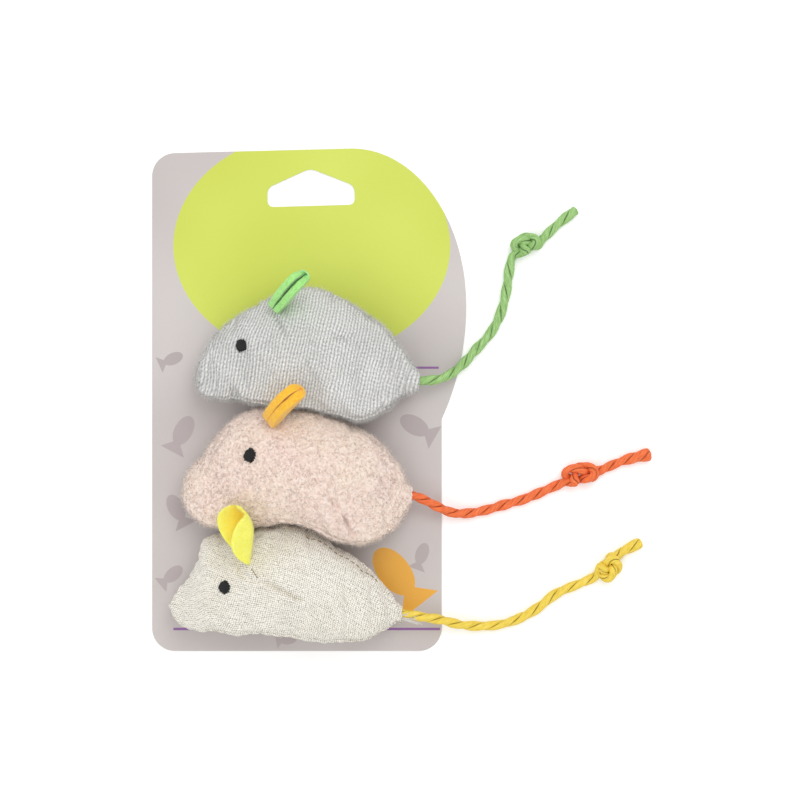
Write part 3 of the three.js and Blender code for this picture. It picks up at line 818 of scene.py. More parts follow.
class Body:
    """One mouse's skin: points by station, from nose to tail, and angle round it from its back."""

    def __init__(self, name, mouse):
        self.name, self.mouse, self.place = name, mouse, mouse["place"]
        self.length, self.height, self.thickness = mouse["size"]
        rows = np.array(mouse["stations"]) / 1000
        self.back = np.stack([*self.spot(rows[:, 0], rows[:, 1]), 0 * rows[:, 0]], axis=1)
        self.belly = np.stack([*self.spot(rows[:, 2], rows[:, 3]), 0 * rows[:, 0]], axis=1)
        self.girth = np.stack([np.linspace(0, 1, len(rows)), rows[:, 4], 0 * rows[:, 4]], axis=1)
        self.tail_root = (self.back[-1] + self.belly[-1]) / 2
        self.tail_root[2] = self.skin(1.0, np.array([1, -1]) * TURN / 4)[:, 2].mean()

    def spot(self, along, up):
        """A place in the plane of the card, by shares of the length and height."""
        return self.place[0] + along * self.length, self.place[1] + up * self.height

    def from_line(self, points, start, end):
        """Distance in the card's plane to a line between two spots, and the share along it."""
        start, end = np.array(self.spot(*start)), np.array(self.spot(*end))
        run = end - start
        share = np.clip((points[..., :2] - start) @ run / (run @ run), 0, 1)
        nearest = start + share[..., None] * run
        return np.linalg.norm(points[..., :2] - nearest, axis=-1), share

    def skin(self, along, around):
        along, around = np.broadcast_arrays(np.asarray(along, float), np.asarray(around, float))
        back, belly = spline(self.back, along), spline(self.belly, along)
        half_girth = spline(self.girth, along)[..., 1] * self.thickness / 2
        up = np.cos(around)
        up_share = np.where(up > 0, up, np.maximum(1 + up, 0) ** BELLY_FLATNESS - 1)
        point = back + (belly - back) * ((1 - up_share) / 2)[..., None]
        middle = half_girth * (1 - DROOP_SHARE) + self.thickness / 2 * DROOP_SHARE - PRESS_DEPTH
        above = middle + half_girth * np.sin(around) * (1 - SIDE_FULLNESS * up)
        point[..., 2] = REST_HEIGHT + (above + np.hypot(above, PRESS_BLEND)) / 2
        return point

    def off_skin(self, along, around, distance, nudge=0.002):
        """A place at a distance from the skin, along its normal."""
        forward = self.skin(along + nudge, around) - self.skin(along - nudge, around)
        aside = self.skin(along, around + nudge) - self.skin(along, around - nudge)
        return self.skin(along, around) + unit(np.cross(aside, forward)) * distance

    def rings(self, stations, around):
        """Skin points, closed over the nose before station 0 and drawn in to the tail past 1."""
        grid = self.skin(np.clip(stations, 0, 1)[:, None], around[None, :])
        stations = stations[:, None, None]
        nose = np.clip(-stations, 0, 1) * TURN / 4
        middle = self.skin(0.0, angles_round(4)).mean(axis=0)
        domed = middle + (grid - middle) * (np.cos(nose) * (1 - NOSE_OPEN) + NOSE_OPEN)
        domed[..., 0] -= NOSE_DEPTH * np.sin(nose[..., 0])
        rear = np.clip(stations - 1, 0, 2)
        turn = np.minimum(rear, 1) * TURN / 4
        reach = np.linalg.norm(self.skin(1.0, angles_round(4)) - self.tail_root, axis=1).mean()
        hole = (ROPE_RADIUS + TAIL_ROOM) / reach
        drawn = self.tail_root + (grid - self.tail_root) * (hole + (1 - hole) * np.cos(turn))
        drawn[..., 0] += TAIL_LIP * np.sin(2 * turn[..., 0])
        drawn[..., 0] -= TAIL_SLEEVE * np.maximum(rear[..., 0] - 1, 0)
        return np.where(stations > 1, drawn, np.where(stations < 0, domed, grid))


def even_stations(body, spacing):
    """Stations at an even step of skin, nose and tail ends included."""
    dense = np.linspace(0, 1, 400)
    along = travelled(body.skin(dense[:, None], angles_round(4)[None, :])).mean(axis=1)
    inner = np.interp(np.linspace(0, along[-1], int(along[-1] / spacing)), along, dense)
    nose, rear = -np.linspace(1, 0, 6)[:-1], 1 + np.linspace(0, 1.6, 13)[1:]
    stations = np.concatenate([nose, inner, rear])
    spare = -(len(stations) - 1) % INNER_STEP
    return np.concatenate([stations, 2.6 + np.arange(1, spare + 1) * 0.1])


def even_angles(body, start, end, spacing):
    """Angles at an even step of skin round the widest part."""
    dense = np.linspace(start, end, 200)
    along = travelled(body.skin(0.62, dense))
    count = max(INNER_STEP * int(round(along[-1] / spacing / INNER_STEP)), 2 * INNER_STEP)
    return np.interp(np.linspace(0, along[-1], count + 1), along, dense)


def stuffed(body):
    """How far pressure moves each point of a coarse grid of skin."""
    stations = np.linspace(0, 1, SIM_STATIONS)
    rest = body.skin(stations[:, None], angles_round(SIM_ANGLES)[None, :])
    mesh = bpy.data.meshes.new("sim_skin")
    faces = tube_faces(SIM_STATIONS, SIM_ANGLES)
    mesh.from_pydata(rest.reshape(-1, 3).tolist(), [], faces)
    skin = added("sim_skin", mesh)
    seams = [round(seam / TURN * SIM_ANGLES) for seam in (0, BELLY_SEAM, TURN - BELLY_SEAM)]
    index = np.arange(SIM_STATIONS * SIM_ANGLES)
    row, column = np.divmod(index, SIM_ANGLES)
    pinned = index[(row < 2) | (row >= SIM_STATIONS - 2) | np.isin(column, seams)]
    skin.vertex_groups.new(name="held").add(pinned.tolist(), 1.0, "REPLACE")
    cloth = skin.modifiers.new("cloth", "CLOTH")
    set_up(cloth.settings, **SIM_SETTINGS)
    cloth.settings.effector_weights.gravity = 0
    cloth.collision_settings.use_collision = False
    scene = bpy.context.scene
    for number in range(1, SIM_FRAMES + 1):
        scene.frame_set(number)
    shown = skin.evaluated_get(bpy.context.evaluated_depsgraph_get())
    moved = np.zeros(len(mesh.vertices) * 3, np.float32)
    shown.data.vertices.foreach_get("co", moved)
    scene.frame_set(1)
    bpy.data.objects.remove(skin)
    move = moved.reshape(rest.shape).astype(float) - rest
    far = np.linalg.norm(move, axis=-1, keepdims=True)
    return move * SIM_SHARE * np.minimum(1, SIM_CAP / np.maximum(far, 1e-9))


# Cloth

def shell(outer, normals, uv, values):
    """A closed sheet: a fine outer face, and an inner one with few of its rows and columns."""
    step = INNER_STEP
    inner = (outer - normals * CLOTH_THICKNESS)[::step, ::step]
    (rows, columns), (inner_rows, inner_columns) = outer.shape[:2], inner.shape[:2]
    count = rows * columns

    def rim(rows, columns, start):
        grid = start + np.arange(rows * columns).reshape(rows, columns)
        return [*grid[0, :-1], *grid[:-1, -1], *grid[-1, :0:-1], *grid[:0:-1, 0]]

    outer_rim, inner_rim = rim(rows, columns, 0), rim(inner_rows, inner_columns, count)
    outer_rim.append(outer_rim[0])
    faces = quads(rows, columns).tolist()
    faces += (quads(inner_rows, inner_columns)[:, ::-1] + count).tolist()
    for index, near in enumerate(inner_rim):
        far = inner_rim[(index + 1) % len(inner_rim)]
        run = outer_rim[index * step:(index + 1) * step + 1]
        for k in range(step):
            faces.append([run[k + 1], run[k], near if k < step / 2 else far])
        faces.append([near, far, run[step // 2]])

    def both(grid, width):
        return np.vstack([grid.reshape(-1, width), grid[::step, ::step].reshape(-1, width)])

    points = np.vstack([outer.reshape(-1, 3), inner.reshape(-1, 3)])
    return points, faces, both(uv, 2), {key: both(grid, 1) for key, grid in values.items()}


def seam_depth(body, distance, along):
    """How far the cloth dips near a seam, drawn in more at each stitch."""
    tuck = body.mouse["tuck"] * np.exp(-(distance / (0.8 * MM)) ** 1.3)
    pucker = 0.22 * MM * np.sin(along / (3.6 * MM) * TURN) * np.exp(-distance / (3 * MM))
    return tuck + pucker * (1 - np.exp(-distance / (0.5 * MM)))


def shaped_depth(body, grid, normals):
    """How far the cloth dips in its creases and hollows and between its lumps."""
    inward = -lumpy(grid, (0.4, 14, 11), (0.16, 5, 12))
    for first, second, half_width, depth in body.mouse["creases"]:
        away, share = body.from_line(grid, first, second)
        fade = np.sin((share * 0.9 + 0.05) * math.pi) ** 0.5
        crease = np.exp(-(away / half_width) ** 2)
        swell = 0.35 * np.exp(-((away - 2.2 * half_width) / (1.4 * half_width)) ** 2)
        inward += np.where(normals[..., 2] > 0.1, depth * fade * (crease - swell), 0)
    for first, second, half_width, depth in body.mouse["hollows"]:
        away, _ = body.from_line(grid, first, second)
        facing = np.clip(normals[..., 2] / 0.3, 0, 1)
        inward += depth * facing * np.exp(-(away / half_width) ** 2)
    return inward


def woven(body, laid, grid, across, along):
    """A cloth's map, how far its own relief stands out, and what its finish reads."""
    down = across - across[:, across.shape[1] // 2][:, None]
    x, up = laid[..., 0], laid[..., 1] - body.place[1]
    if body.name == "grey":
        front = np.clip((body.place[0] - x) / RIB_FRONT, 0, 1)
        lean = RIB_LEAN * up + RIB_BEND * front * np.maximum(up, 0) ** 2
        ribs = (x - lean + lumpy(laid, (0.4, 8, 21), (0.16, 2.4, 23))) / RIB_PITCH
        relief = 0.1 * MM * np.sin(ribs * TURN) + lumpy(grid, (0.05, 0.8, 22))
        return np.stack([ribs, down / MM], axis=-1), relief, {}
    if body.name == "pink":
        ridges = 1 - np.abs(lumps(grid, 0.95 * MM, 31)) * 2.2
        curls = 0.6 * ridges + 0.4 * lumps(grid, 0.7 * MM, 32)
        relief = 0.2 * MM * curls + lumpy(grid, (0.1, 3, 33))
        # depth is low in the crevices between the curls, where the pile's finish paints shade
        depth = np.clip(0.5 + 0.5 * curls, 0, 1)
        return np.stack([along, across], axis=-1) / MM, relief, {"depth": depth}
    front = np.minimum(x - body.place[0] + 4 * MM, 0)
    threads = [
        x + (WEAVE_TILT - WEAVE_BEND * front) * down,
        down - WEAVE_TILT * x + WEAVE_BEND / 2 * front ** 2,
    ]
    return np.stack(threads, axis=-1) / WEAVE_PITCH, 0 * x, {}


def cloth_panel(body, label, start, end, spacing, move, material):
    stations, around = even_stations(body, spacing), even_angles(body, start, end, spacing)
    beyond = np.array([2 * around[0] - around[1], *around, 2 * around[-1] - around[-2]])
    laid = body.rings(stations, beyond)
    drift = cubic(move, np.clip(stations, 0, 1) * (SIM_STATIONS - 1), wrap=False)
    drift = cubic(np.swapaxes(drift, 0, 1), beyond / TURN * SIM_ANGLES, wrap=True)
    grid = laid + np.swapaxes(drift, 0, 1)
    normals = grid_normals(grid)[:, 1:-1]
    grid, laid = grid[:, 1:-1], laid[:, 1:-1]
    across, along = travelled(laid, 1), travelled(laid)
    edge = np.minimum(across, across[:, -1:] - across)
    inward = seam_depth(body, edge, along + lumpy(grid, (1.2, 9, 5)))
    uv, relief, values = woven(body, laid, grid, across, along)
    inward = inward + shaped_depth(body, grid, normals) - relief
    grid = grid - normals * inward[..., None]
    grid[..., 2] = np.maximum(grid[..., 2], LOWEST_CLOTH)
    points, faces, uv, values = shell(grid, normals, uv, values)
    name = f"{body.name}_{label}"
    piece = make_piece(f"{name}_cloth", points, faces, material, name, uv=uv, values=values)
    return grid, grid_normals(grid), stations, around


def on_panel(panel, along, around):
    """Places and normals of a finished panel, between its grid points."""
    grid, normals, stations, angles = panel
    row = np.interp(along, stations, np.arange(len(stations)))
    column = np.interp(around, angles, np.arange(len(angles)))
    top = np.minimum(row.astype(int), len(stations) - 2)
    left = np.minimum(column.astype(int), len(angles) - 2)
    down, over = (row - top)[:, None], (column - left)[:, None]

    def between(values):
        near = values[top, left] * (1 - over) + values[top, left + 1] * over
        far = values[top + 1, left] * (1 - over) + values[top + 1, left + 1] * over
        return near * (1 - down) + far * down

    return between(grid), unit(between(normals))


def make_stuffing(body, material):
    rows, columns = 70, 72
    stations = np.linspace(0.05, 0.95, rows)
    grid = body.skin(stations[:, None], angles_round(columns)[None, :])
    wisps = lumpy(grid, (0.5, 3, 41), (0.5, 1.2, 42)) - 0.5 * MM
    inset = CLOTH_THICKNESS + STUFFING_GAP - wisps
    grid = grid - grid_normals(grid, closed=True) * inset[..., None]
    name = f"{body.name}_stuffing"
    piece = make_piece(f"{name}_fill", grid, tube_faces(rows, columns), material, name)


# Pile and fibres

def scattered(grid, normals, per_area, seed, body=None):
    """Points spread over a grid by its area, with normals; none that the body's tail sweeps."""
    rng = np.random.default_rng(seed)
    edge_along, edge_round, areas = grid_cells(grid)
    count = int(areas.sum() * per_area)
    cells = rng.choice(len(areas), count, p=areas / areas.sum())
    cell = np.divmod(cells, grid.shape[1] - 1)
    shift = rng.random((2, count, 1))
    roots = grid[cell] + edge_along[cell] * shift[0] + edge_round[cell] * shift[1]
    outward = normals[cell]
    if body:
        kept = np.linalg.norm(roots - body.tail_root, axis=1) > TAIL_BARE
        roots, outward = roots[kept], outward[kept]
    return roots, outward


def above_card(roots, *others):
    """The roots that aren't pressed to the card, with what belongs to them."""
    clear = roots[:, 2] > CARD_TOP + PRESSED
    return [values[clear] for values in (roots, *others)]


def make_many(name, each, faces, depths, material, **rides):
    """One piece of many small meshes, folded back where they would pass through the card."""
    points = np.stack(each, axis=1)
    points[..., 2] = LOWEST_CLOTH + np.abs(points[..., 2] - LOWEST_CLOTH)
    starts = np.arange(len(points))[:, None, None] * len(each)
    faces = (starts + np.array(faces)).reshape(-1, 3).tolist()
    depths = np.repeat(depths, len(each))
    values = {"depth": depths, "fold": 0 * depths}
    return make_piece(name, points, faces, material, values=values, **rides)


def hairs(name, roots, directions, lengths, width, bend, seeds, material, **rides):
    """Short tapered hairs, each bent to one side: a base, a middle and a tip."""
    length_rng, rng = (np.random.default_rng(seed) for seed in seeds)
    lengths = length_rng.uniform(*lengths, (len(roots), 1)) * MM
    roots, directions, lengths = above_card(roots, directions, lengths)
    directions = unit(directions + rng.normal(0, 0.45, roots.shape))
    aside = unit(np.cross(directions, rng.normal(0, 1, roots.shape)))
    other = np.cross(directions, aside)
    lean = unit(rng.normal(0, 1, roots.shape))

    def along(share):
        return roots + directions * lengths * share + lean * bend * lengths * share ** 2

    points = [
        along(share) + swung(aside, other, angle) * width / 2 * (1 - 0.6 * share)
        for share in (0, 0.5) for angle in angles_round(3)
    ]
    depths = np.ones(len(roots))
    return make_many(name, [*points, along(1)], HAIR_FACES, depths, material, **rides)


def make_loops(name, roots, normals, seed, material):
    """Short loops of yarn, each rising out of the cloth and bending back to it."""
    roots, normals = above_card(roots, normals)
    rng = np.random.default_rng(seed)
    steps, sides = 3, 3
    upward = unit(normals + rng.normal(0, 0.35, roots.shape))
    sideways = unit(np.cross(upward, rng.normal(0, 1, roots.shape)))
    across = np.cross(upward, sideways)
    size = LOOP_RADIUS * rng.uniform(0.7, 1.3, len(roots))[:, None]
    points = []
    for step in range(steps + 1):
        angle = step / steps * LOOP_SWEEP
        centre = roots + sideways * size * (1 - math.cos(angle))
        centre += upward * size * 1.3 * math.sin(angle)
        out = unit(swung(-sideways, upward, angle))
        taper = math.sin(min(step + 0.6, steps - step + 0.6) / steps * math.pi)
        thick = LOOP_YARN / 2 * (0.45 + 0.55 * taper)
        points += [centre + swung(out, across, spin) * thick for spin in angles_round(sides)]
    last = len(points) - 1
    faces = [[0, 1, 2], [last, last - 1, last - 2]]
    for near, beside, beyond, ahead in quads(steps + 1, sides, closed=True):
        faces += [[near, ahead, beyond], [near, beyond, beside]]
    make_many(name, points, faces, rng.uniform(0.5, 1.0, len(roots)), material)


def make_pile(body, index, label, grid, normals, material):
    """Nap on velour or loops on curly pile, and stray fibres where the cloth turns away."""
    name = f"{body.name}_{label}"
    if body.name == "grey":
        roots, outward = scattered(grid, normals, NAP_DENSITY, 50 + index, body)
        seeds = 60 + index, 70 + index
        hairs(f"{name}_nap", roots, outward, (0.5, 1.25), 0.11 * MM, 0.5, seeds, material)
    else:
        roots, outward = scattered(grid, normals, LOOP_DENSITY, 80 + index, body)
        bare = np.zeros(len(roots), bool)
        for first, second, *_ in body.mouse["creases"][:2]:
            away, _ = body.from_line(roots, first, second)
            bare |= (away < CREASE_BARE) & (outward[:, 2] > 0.1)
        roots, outward = (roots - outward * 0.25 * MM)[~bare], outward[~bare]
        make_loops(f"{name}_loops", roots, outward, 90 + index, material)
    roots, outward = scattered(grid, normals, HALO_DENSITY, 150 + index, body)
    turning = np.abs(outward[:, 2]) < 0.42
    roots, outward, seeds = roots[turning], outward[turning], (151 + index, 152 + index)
    hairs(f"{name}_halo", roots, outward, (0.7, 1.8), 0.1 * MM, 0.7, seeds, material)


# Ears

def turned(points, roll, lift, heading):
    """Points rolled about X, lifted from level, then headed about Z."""
    cos, sin = math.cos, math.sin
    roll, lift, heading = degrees(roll), degrees(lift), degrees(heading)
    about_x = np.array([[1, 0, 0], [0, cos(roll), -sin(roll)], [0, sin(roll), cos(roll)]])
    about_y = np.array([[cos(lift), 0, -sin(lift)], [0, 1, 0], [sin(lift), 0, cos(lift)]])
    about_z = np.array([
        [cos(heading), -sin(heading), 0], [sin(heading), cos(heading), 0], [0, 0, 1]
    ])
    return points @ (about_z @ about_y @ about_x).T


def ear_grid(fold, felt, spine, lobes, end, side, rim, rows=72, columns=49):
    """One face of a folded felt leaf: its length along X, open towards +Z."""
    share = np.linspace(0, 1, rows)[:, None]
    spread = np.sin(np.linspace(-1, 1, columns) * TURN / 4)[None, :]
    half, stop, skew, sharp, root_opening, tip_opening = (
        np.where(spread < 0, *pair) for pair in zip(*lobes)
    )
    arch = np.maximum(0, np.sin(math.pi * np.minimum(share / stop, 1) ** skew)) ** sharp
    width = end + (half - end) * arch
    opening = np.radians(root_opening + (tip_opening - root_opening) * share ** 1.5)
    reach = np.abs(spread) * width
    bend = np.minimum(reach / fold, TURN / 4 - opening)
    straight = reach - bend * fold
    from_end = np.minimum(share, 1 - share) * EAR_LENGTH
    from_rim = np.minimum((1 - np.abs(spread)) * width, from_end)
    half_felt = (felt[0] - felt[1]) / 2
    rounding = np.sqrt(1 - (1 - np.clip(from_rim / min(rim, half_felt), 0, 1)) ** 2)
    radius = fold + sum(felt) / 2 + side * half_felt * (0.04 + 0.96 * rounding)
    across = radius * np.sin(bend) + straight * np.cos(bend)
    height = fold - radius * np.cos(bend) + straight * np.sin(bend)
    root_share = np.minimum(1, share * EAR_LENGTH / EAR_ROOT)
    bow = spine[0] * np.sin(math.pi * share ** 1.4) + spine[1] * share ** 5
    base = bow - EAR_ROOT * np.sqrt(1 - (1 - root_share) ** 2)
    x = share * EAR_LENGTH - EAR_ROOT + 0 * reach
    return np.stack([x, np.sign(spread) * across, base + height], axis=-1)


def make_ear(body, label, material, rides, seat, heading, lift, roll, fold, felt, lobes,
             spine=(0, 0), stretch=1.0, shift=(0, 0, 0), rims=mm(0.8, 0.8), end=EAR_END_HALF_WIDTH):
    outer, inner = (
        ear_grid(fold, felt, spine, lobes, end, side, rim) * (stretch, 1, 1)
        for side, rim in zip((1, -1), rims)
    )
    ring = np.concatenate([outer, inner[:, ::-1]], axis=1)
    spread = np.sin(np.linspace(-1, 1, outer.shape[1]) * TURN / 4)
    # On the inside of the leaf, most at the crease, the felt takes painted shade
    fold_shade_share = np.concatenate([0 * spread, 1 - np.abs(spread) ** FOLD_SHADE])
    root = body.off_skin(seat[0], degrees(seat[1]), FIT_GAP + EAR_ROOT + FELT_THICKNESS / 2)
    ring = turned(ring, roll, lift, heading) + root + np.array(shift)
    bumps = lumpy(ring, (0.12, 2.2, 101), (0.07, 0.8, 102))
    ring = ring + grid_normals(ring, closed=True) * bumps[..., None]
    faces = tube_faces(*ring.shape[:2])
    values = {"fold": np.tile(fold_shade_share, len(ring))}
    name = f"{body.name}_{label}"
    piece = make_piece(f"{name}_felt", ring, faces, material, name, rides=rides, values=values)
    around = closed_grid(ring)
    roots, outward = scattered(around, grid_normals(around), FUZZ_DENSITY, 110)
    seeds = 111, 112
    fuzz = hairs(
        f"{name}_fuzz", roots, outward, (0.2, 0.6), 0.07 * MM, 0.9, seeds, material, rides=rides
    )
    leaf_area = float(grid_cells((outer + inner) / 2)[2].sum())


# Eyes

def patch_middle(panel, along, around):
    """The middle and the normal of a small patch of a finished panel."""
    ahead, aside = np.meshgrid(np.linspace(-0.02, 0.02, 5), np.linspace(-0.1, 0.1, 5))
    points, normals = on_panel(panel, along + ahead.ravel(), around % TURN + aside.ravel())
    return points.mean(axis=0), unit(normals.mean(axis=0))


def make_eye(body, side, panel, material):
    """Satin stitches side by side over a low pad, with one loose thread end in the card's plane."""
    along, around, lean = body.mouse["eyes"][side]
    middle, normal = patch_middle(panel, along, degrees(around))
    forward = unit(np.cross(normal, (0, 1, 0)))
    across = swung(forward, np.cross(normal, forward), degrees(lean))
    length_way = np.cross(normal, across)
    centre = middle + normal * EYE_RAISE
    radius = EYE_DIAMETER / 2 * body.mouse["eye_share"]
    rng = np.random.default_rng(120)
    parts = []
    share = np.linspace(-1, 1, 13)[:, None]
    for index in range(EYE_STITCHES):
        offset = (index - (EYE_STITCHES - 1) / 2) / (EYE_STITCHES / 2) * radius * 0.98
        half = math.sqrt(max(radius ** 2 - (1.12 * offset) ** 2, 0.08 * radius ** 2))
        half *= rng.uniform(0.9, 1.1)
        crown = EYE_THICKNESS * 0.82 * (1 - 0.5 * (offset / radius) ** 2)
        height = crown * np.sqrt(np.maximum(1 - share ** 2, 0)) - 0.5 * MM
        wander = rng.normal(0, 0.04) * MM
        path = centre + length_way * share * half + across * (offset + wander * share)
        parts.append(tube(path + normal * height, EYE_STITCH_RADIUS, 8))
    tilt = np.linspace(0, TURN / 4, PAD_ROWS)[:, None, None]
    flat = swung(across, length_way, angles_round(PAD_COLUMNS)[:, None])
    pad = centre + flat * radius * 0.93 * np.cos(tilt)
    pad = pad + normal * (0.6 * EYE_THICKNESS * np.sin(tilt) - 0.3 * MM)
    parts.append((pad.reshape(-1, 3), tube_faces(PAD_ROWS, PAD_COLUMNS)))
    angle = degrees(body.mouse["thread_end"])
    stray = np.array([math.cos(angle), math.sin(angle), 0])
    stray = unit(stray - normal * (stray @ normal))
    share = np.linspace(0, 1, 8)[:, None]
    end = centre + stray * (radius * 0.7 + share * 1.25 * MM)
    parts.append(tube(end + normal * (0.35 - 0.5 * share ** 2) * MM, 0.2 * MM, 6))
    name = f"{body.name}_{side}_eye"
    make_threads(f"{name}_stitches", parts, material, name)


# Tails

def knot_turns(knot):
    """An overhand knot: the open run of a three-lobed torus knot between its two leads."""
    radius = knot["radius"]
    lift = knot["rise"] * radius
    middle = CORD_DIAMETER / 2 + 0.15 * MM + lift
    along, axis = (swung(*np.eye(2), degrees(knot[key])) for key in ("heading", "axis"))
    aside = np.array([along[1], -along[0]]) * knot["hand"]
    cross = np.array([-axis[1], axis[0]])

    def point(right, back, rise, drawn=False):
        flat = aside * right * radius - along * back * radius
        if drawn:
            flat = axis * (flat @ axis) * knot["long"] + cross * (flat @ cross) * knot["short"]
        return (*(np.array(knot["place"]) + flat), middle + rise * lift)

    before, after = knot["leads"]
    turns = [point(before, back, rise) for back, rise in KNOT_LEAD_SHARES]
    for share in np.linspace(0, 1, 31):
        angle = KNOT_OPENING + (TURN - 2 * KNOT_OPENING) * share
        reach = 1 + KNOT_SWELL * math.cos(3 * angle)
        right, back = reach * math.cos(2 * angle), reach * math.sin(2 * angle)
        turns.append(point(right, back, math.sin(3 * angle), drawn=True))
    return turns + [point(after, -back, rise) for back, rise in KNOT_LEAD_SHARES[::-1]]


def ply_reach(angle):
    """Reach of the twisted paper in a direction, and how near that is to a groove."""
    turn = (angle + TURN / 4) % (TURN / 2) - TURN / 4
    groove = np.exp(-((TURN / 4 - np.abs(turn)) / GROOVE_HALF_WIDTH) ** 2)
    return ROPE_RADIUS * (1 - ROPE_SWELL + ROPE_SWELL * np.cos(2 * turn)), groove


def make_tail(body, material):
    mouse, root = body.mouse, body.tail_root
    inside = root - np.array([TAIL_INSIDE, 0, 0])
    points = [inside, root, *mouse["route"], *knot_turns(mouse["knot"]), *mouse["stub"]]
    path = spaced(spline(points, np.linspace(0, 1, 4000)), ROPE_STEP)
    length = np.arange(len(path)) * ROPE_STEP
    to_end = length[-1] - length
    lay = length / mouse["lay"] * TURN + 0.5 * np.sin(length / (17 * MM))
    angles = angles_round(ROPE_SIDES)[None, :]
    spin = angles + lay[:, None]
    reach, groove = ply_reach(spin)
    nearness = np.linalg.norm(path[:, :2] - np.array(mouse["knot"]["place"]), axis=1)
    stub = np.clip(1 - to_end / STUB_REACH, 0, 1)
    swell = 1 - 0.1 * np.exp(-(nearness / KNOT_REACH) ** 4)
    swell = swell + mouse["stub_swell"] * np.sin(stub * TURN / 4) ** 2
    uneven = 1 + 0.05 * lumps(path, 7 * MM, 131) + 0.05 * lumps(path, 3 * MM, 132)
    end = np.clip(to_end / STUB_ROUNDING, 0, 1)
    rounded = np.sqrt(1 - (1 - end) ** 2) * 0.96 + 0.04
    around = [np.cos(spin) * 4 * MM, np.sin(spin) * 4 * MM, length[:, None] * 0.35 + 0 * spin]
    strand = np.stack(around, axis=-1)
    crinkle = lumpy(strand, (0.09, 0.9, 133), (0.05, 0.4, 134))
    depth = GROOVE_DEPTH * (1 - 0.75 * mouse["stub_swell"] / 0.3 * stub[:, None])
    reach = (reach + crinkle - depth * groove) * (swell * uneven * rounded)[:, None]
    aside, upward = path_frames(path)
    ring = swung(aside[:, None], upward[:, None], angles[..., None])
    surface = path[:, None] + ring * reach[..., None]
    surface[..., 2] = np.maximum(surface[..., 2], 0.03 * MM)
    uv = np.stack([length[:, None] / MM + 0 * spin, spin / TURN * 2], axis=-1).reshape(-1, 2)
    name = f"{body.name}_tail"
    piece = make_piece(
        f"{name}_rope", surface, tube_faces(len(path), ROPE_SIDES), material,
        f"{name}_cord", f"{name}_knot", rides=name, uv=uv, values={"groove": groove},
    )


# Thread ties, seam stitches and loose threads

def make_tie(body, material):
    """Two twisted strands up through the card and along its back."""
    x, y = body.spot(TIE_ALONG, 0)
    radius, half, top = THREAD_DIAMETER / 2, TIE_SPAN / 2, REST_HEIGHT - FIT_GAP / 2
    corners = [(half, top), (half, radius + TIE_BEND), (half - TIE_BEND, radius), (0, radius)]
    corners = [(-away, z) for away, z in corners] + corners[-2::-1]
    line = spline([(x + away, y, z) for away, z in corners], np.linspace(0, 1, 400))
    path = spaced(line, TIE_STEP)
    aside, upward = path_frames(path)
    twist = (np.arange(len(path)) * TIE_STEP / TIE_LAY * TURN)[:, None]
    make_threads(f"{body.name}_tie_strands", [
        tube(path + swung(aside, upward, twist + start) * radius * 0.45, radius * 0.55, 8)
        for start in (0, TURN / 2)
    ], material, f"{body.name}_thread_tie")


def make_stitches(name, panel, stations, angles, count, material):
    """A run of stitches along a line of the cloth, their ends sunk into it."""
    parts = []
    for index in range(count):
        share = (index + np.linspace(0, STITCH_SHARE, STITCH_STEPS)) / count
        along, around = (first + (last - first) * share for first, last in (stations, angles))
        points, normals = on_panel(panel, along, np.radians(around))
        arch = 0.2 - 0.55 * np.linspace(-1, 1, STITCH_STEPS) ** 4
        parts.append(tube(points + normals * arch[:, None] * MM, STITCH_RADIUS, 6))
    make_threads(name, parts, material)


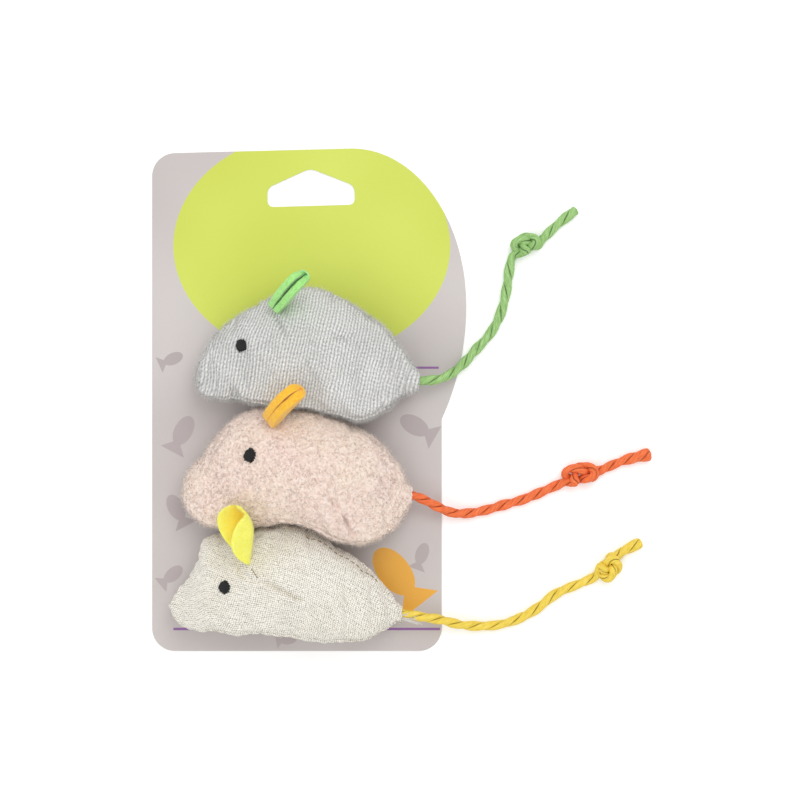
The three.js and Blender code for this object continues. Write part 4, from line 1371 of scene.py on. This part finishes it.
def make_frayed_threads(body, material):
    """Loose ends of cloth thread where the tail comes out."""
    rng = np.random.default_rng(141)
    share = np.linspace(0, 1, 12)[:, None]
    parts = []
    for _ in range(FRAYED_THREADS):
        reach = rng.uniform(3.5, 8.5) * MM
        start = np.array([-0.6, rng.uniform(-2.3, 0.3), rng.uniform(0.8, 2.3)]) * MM
        run = np.array([1, rng.normal(-0.08, 0.08), 0.03])
        stray = np.array([0, rng.normal(0, 0.7), -0.8]) * MM * share ** 2
        parts.append(tube(body.tail_root + start + run * reach * share + stray, FRAYED_RADIUS, 5))
    make_threads(f"{body.name}_frayed_threads", parts, material)


# The whole scene

make_view()
bodies = {name: Body(name, mouse) for name, mouse in MICE.items()}
cord_finishes = {name: paper_cord_finish(*shades) for name, shades in CORD_COLOURS.items()}
for name, body in bodies.items():
    make_tail(body, cord_finishes[name])

cloths = {"grey": velour_finish(), "pink": pile_finish(), "white": canvas_finish()}
felts = {name: felt_finish(*shades) for name, shades in FELT_COLOURS.items()}
filling = stuffing_finish()
eye_thread = thread_finish("eye_thread", (6, 6, 7), (25, 25, 27), sheen=0.0)
tie_thread = thread_finish("tie_thread", (214, 211, 203), (238, 236, 230))

for name, body in bodies.items():
    move = stuffed(body)
    panels = {
        label: cloth_panel(body, label, *edges, move, cloths[name]) for label, *edges in PANELS
    }
    make_stuffing(body, filling)
    if name != "white":
        for index, (label, panel) in enumerate(panels.items()):
            make_pile(body, index, label, *panel[:2], cloths[name])
    make_ear(body, "left_ear", felts[name], f"{name}_ear", **body.mouse["ear"])
    heading, roll, half_width = body.mouse["hidden_ear"]
    make_ear(
        body, "right_ear", felts[name], "carded_mice", seat=(0.48, -52), heading=heading,
        lift=0.0, roll=roll, fold=0.95 * MM, felt=THIN_FELT, shift=mm(0, -0.6, -0.5),
        lobes=[(half_width, 1.0, 1.15, 0.45, 0.0, 0.0)] * 2,
    )
    for side in ("left", "right"):
        make_eye(body, side, panels[f"{side}_side"], eye_thread)
    make_tie(body, tie_thread)

# The last mouse is the white one, and its cloth alone shows its stitches
# The seam thread's brown paints the shade of the stitch holes as well as the thread
seam_thread = thread_finish("tie_thread", (118, 99, 72), (160, 140, 108))
for name, stations, angles, count in (
    ("white_back_stitches", (0.6, 0.82), (27, 36), 14),
    ("white_dart_stitches", (0.461, 0.479), (74.5, 85.5), 4),
):
    make_stitches(name, panels["left_side"], stations, angles, count, seam_thread)
make_frayed_threads(body, tie_thread)

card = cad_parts["hang_card"]
card.data.materials.clear()
card.data.materials.append(card_finish())

make_studio()
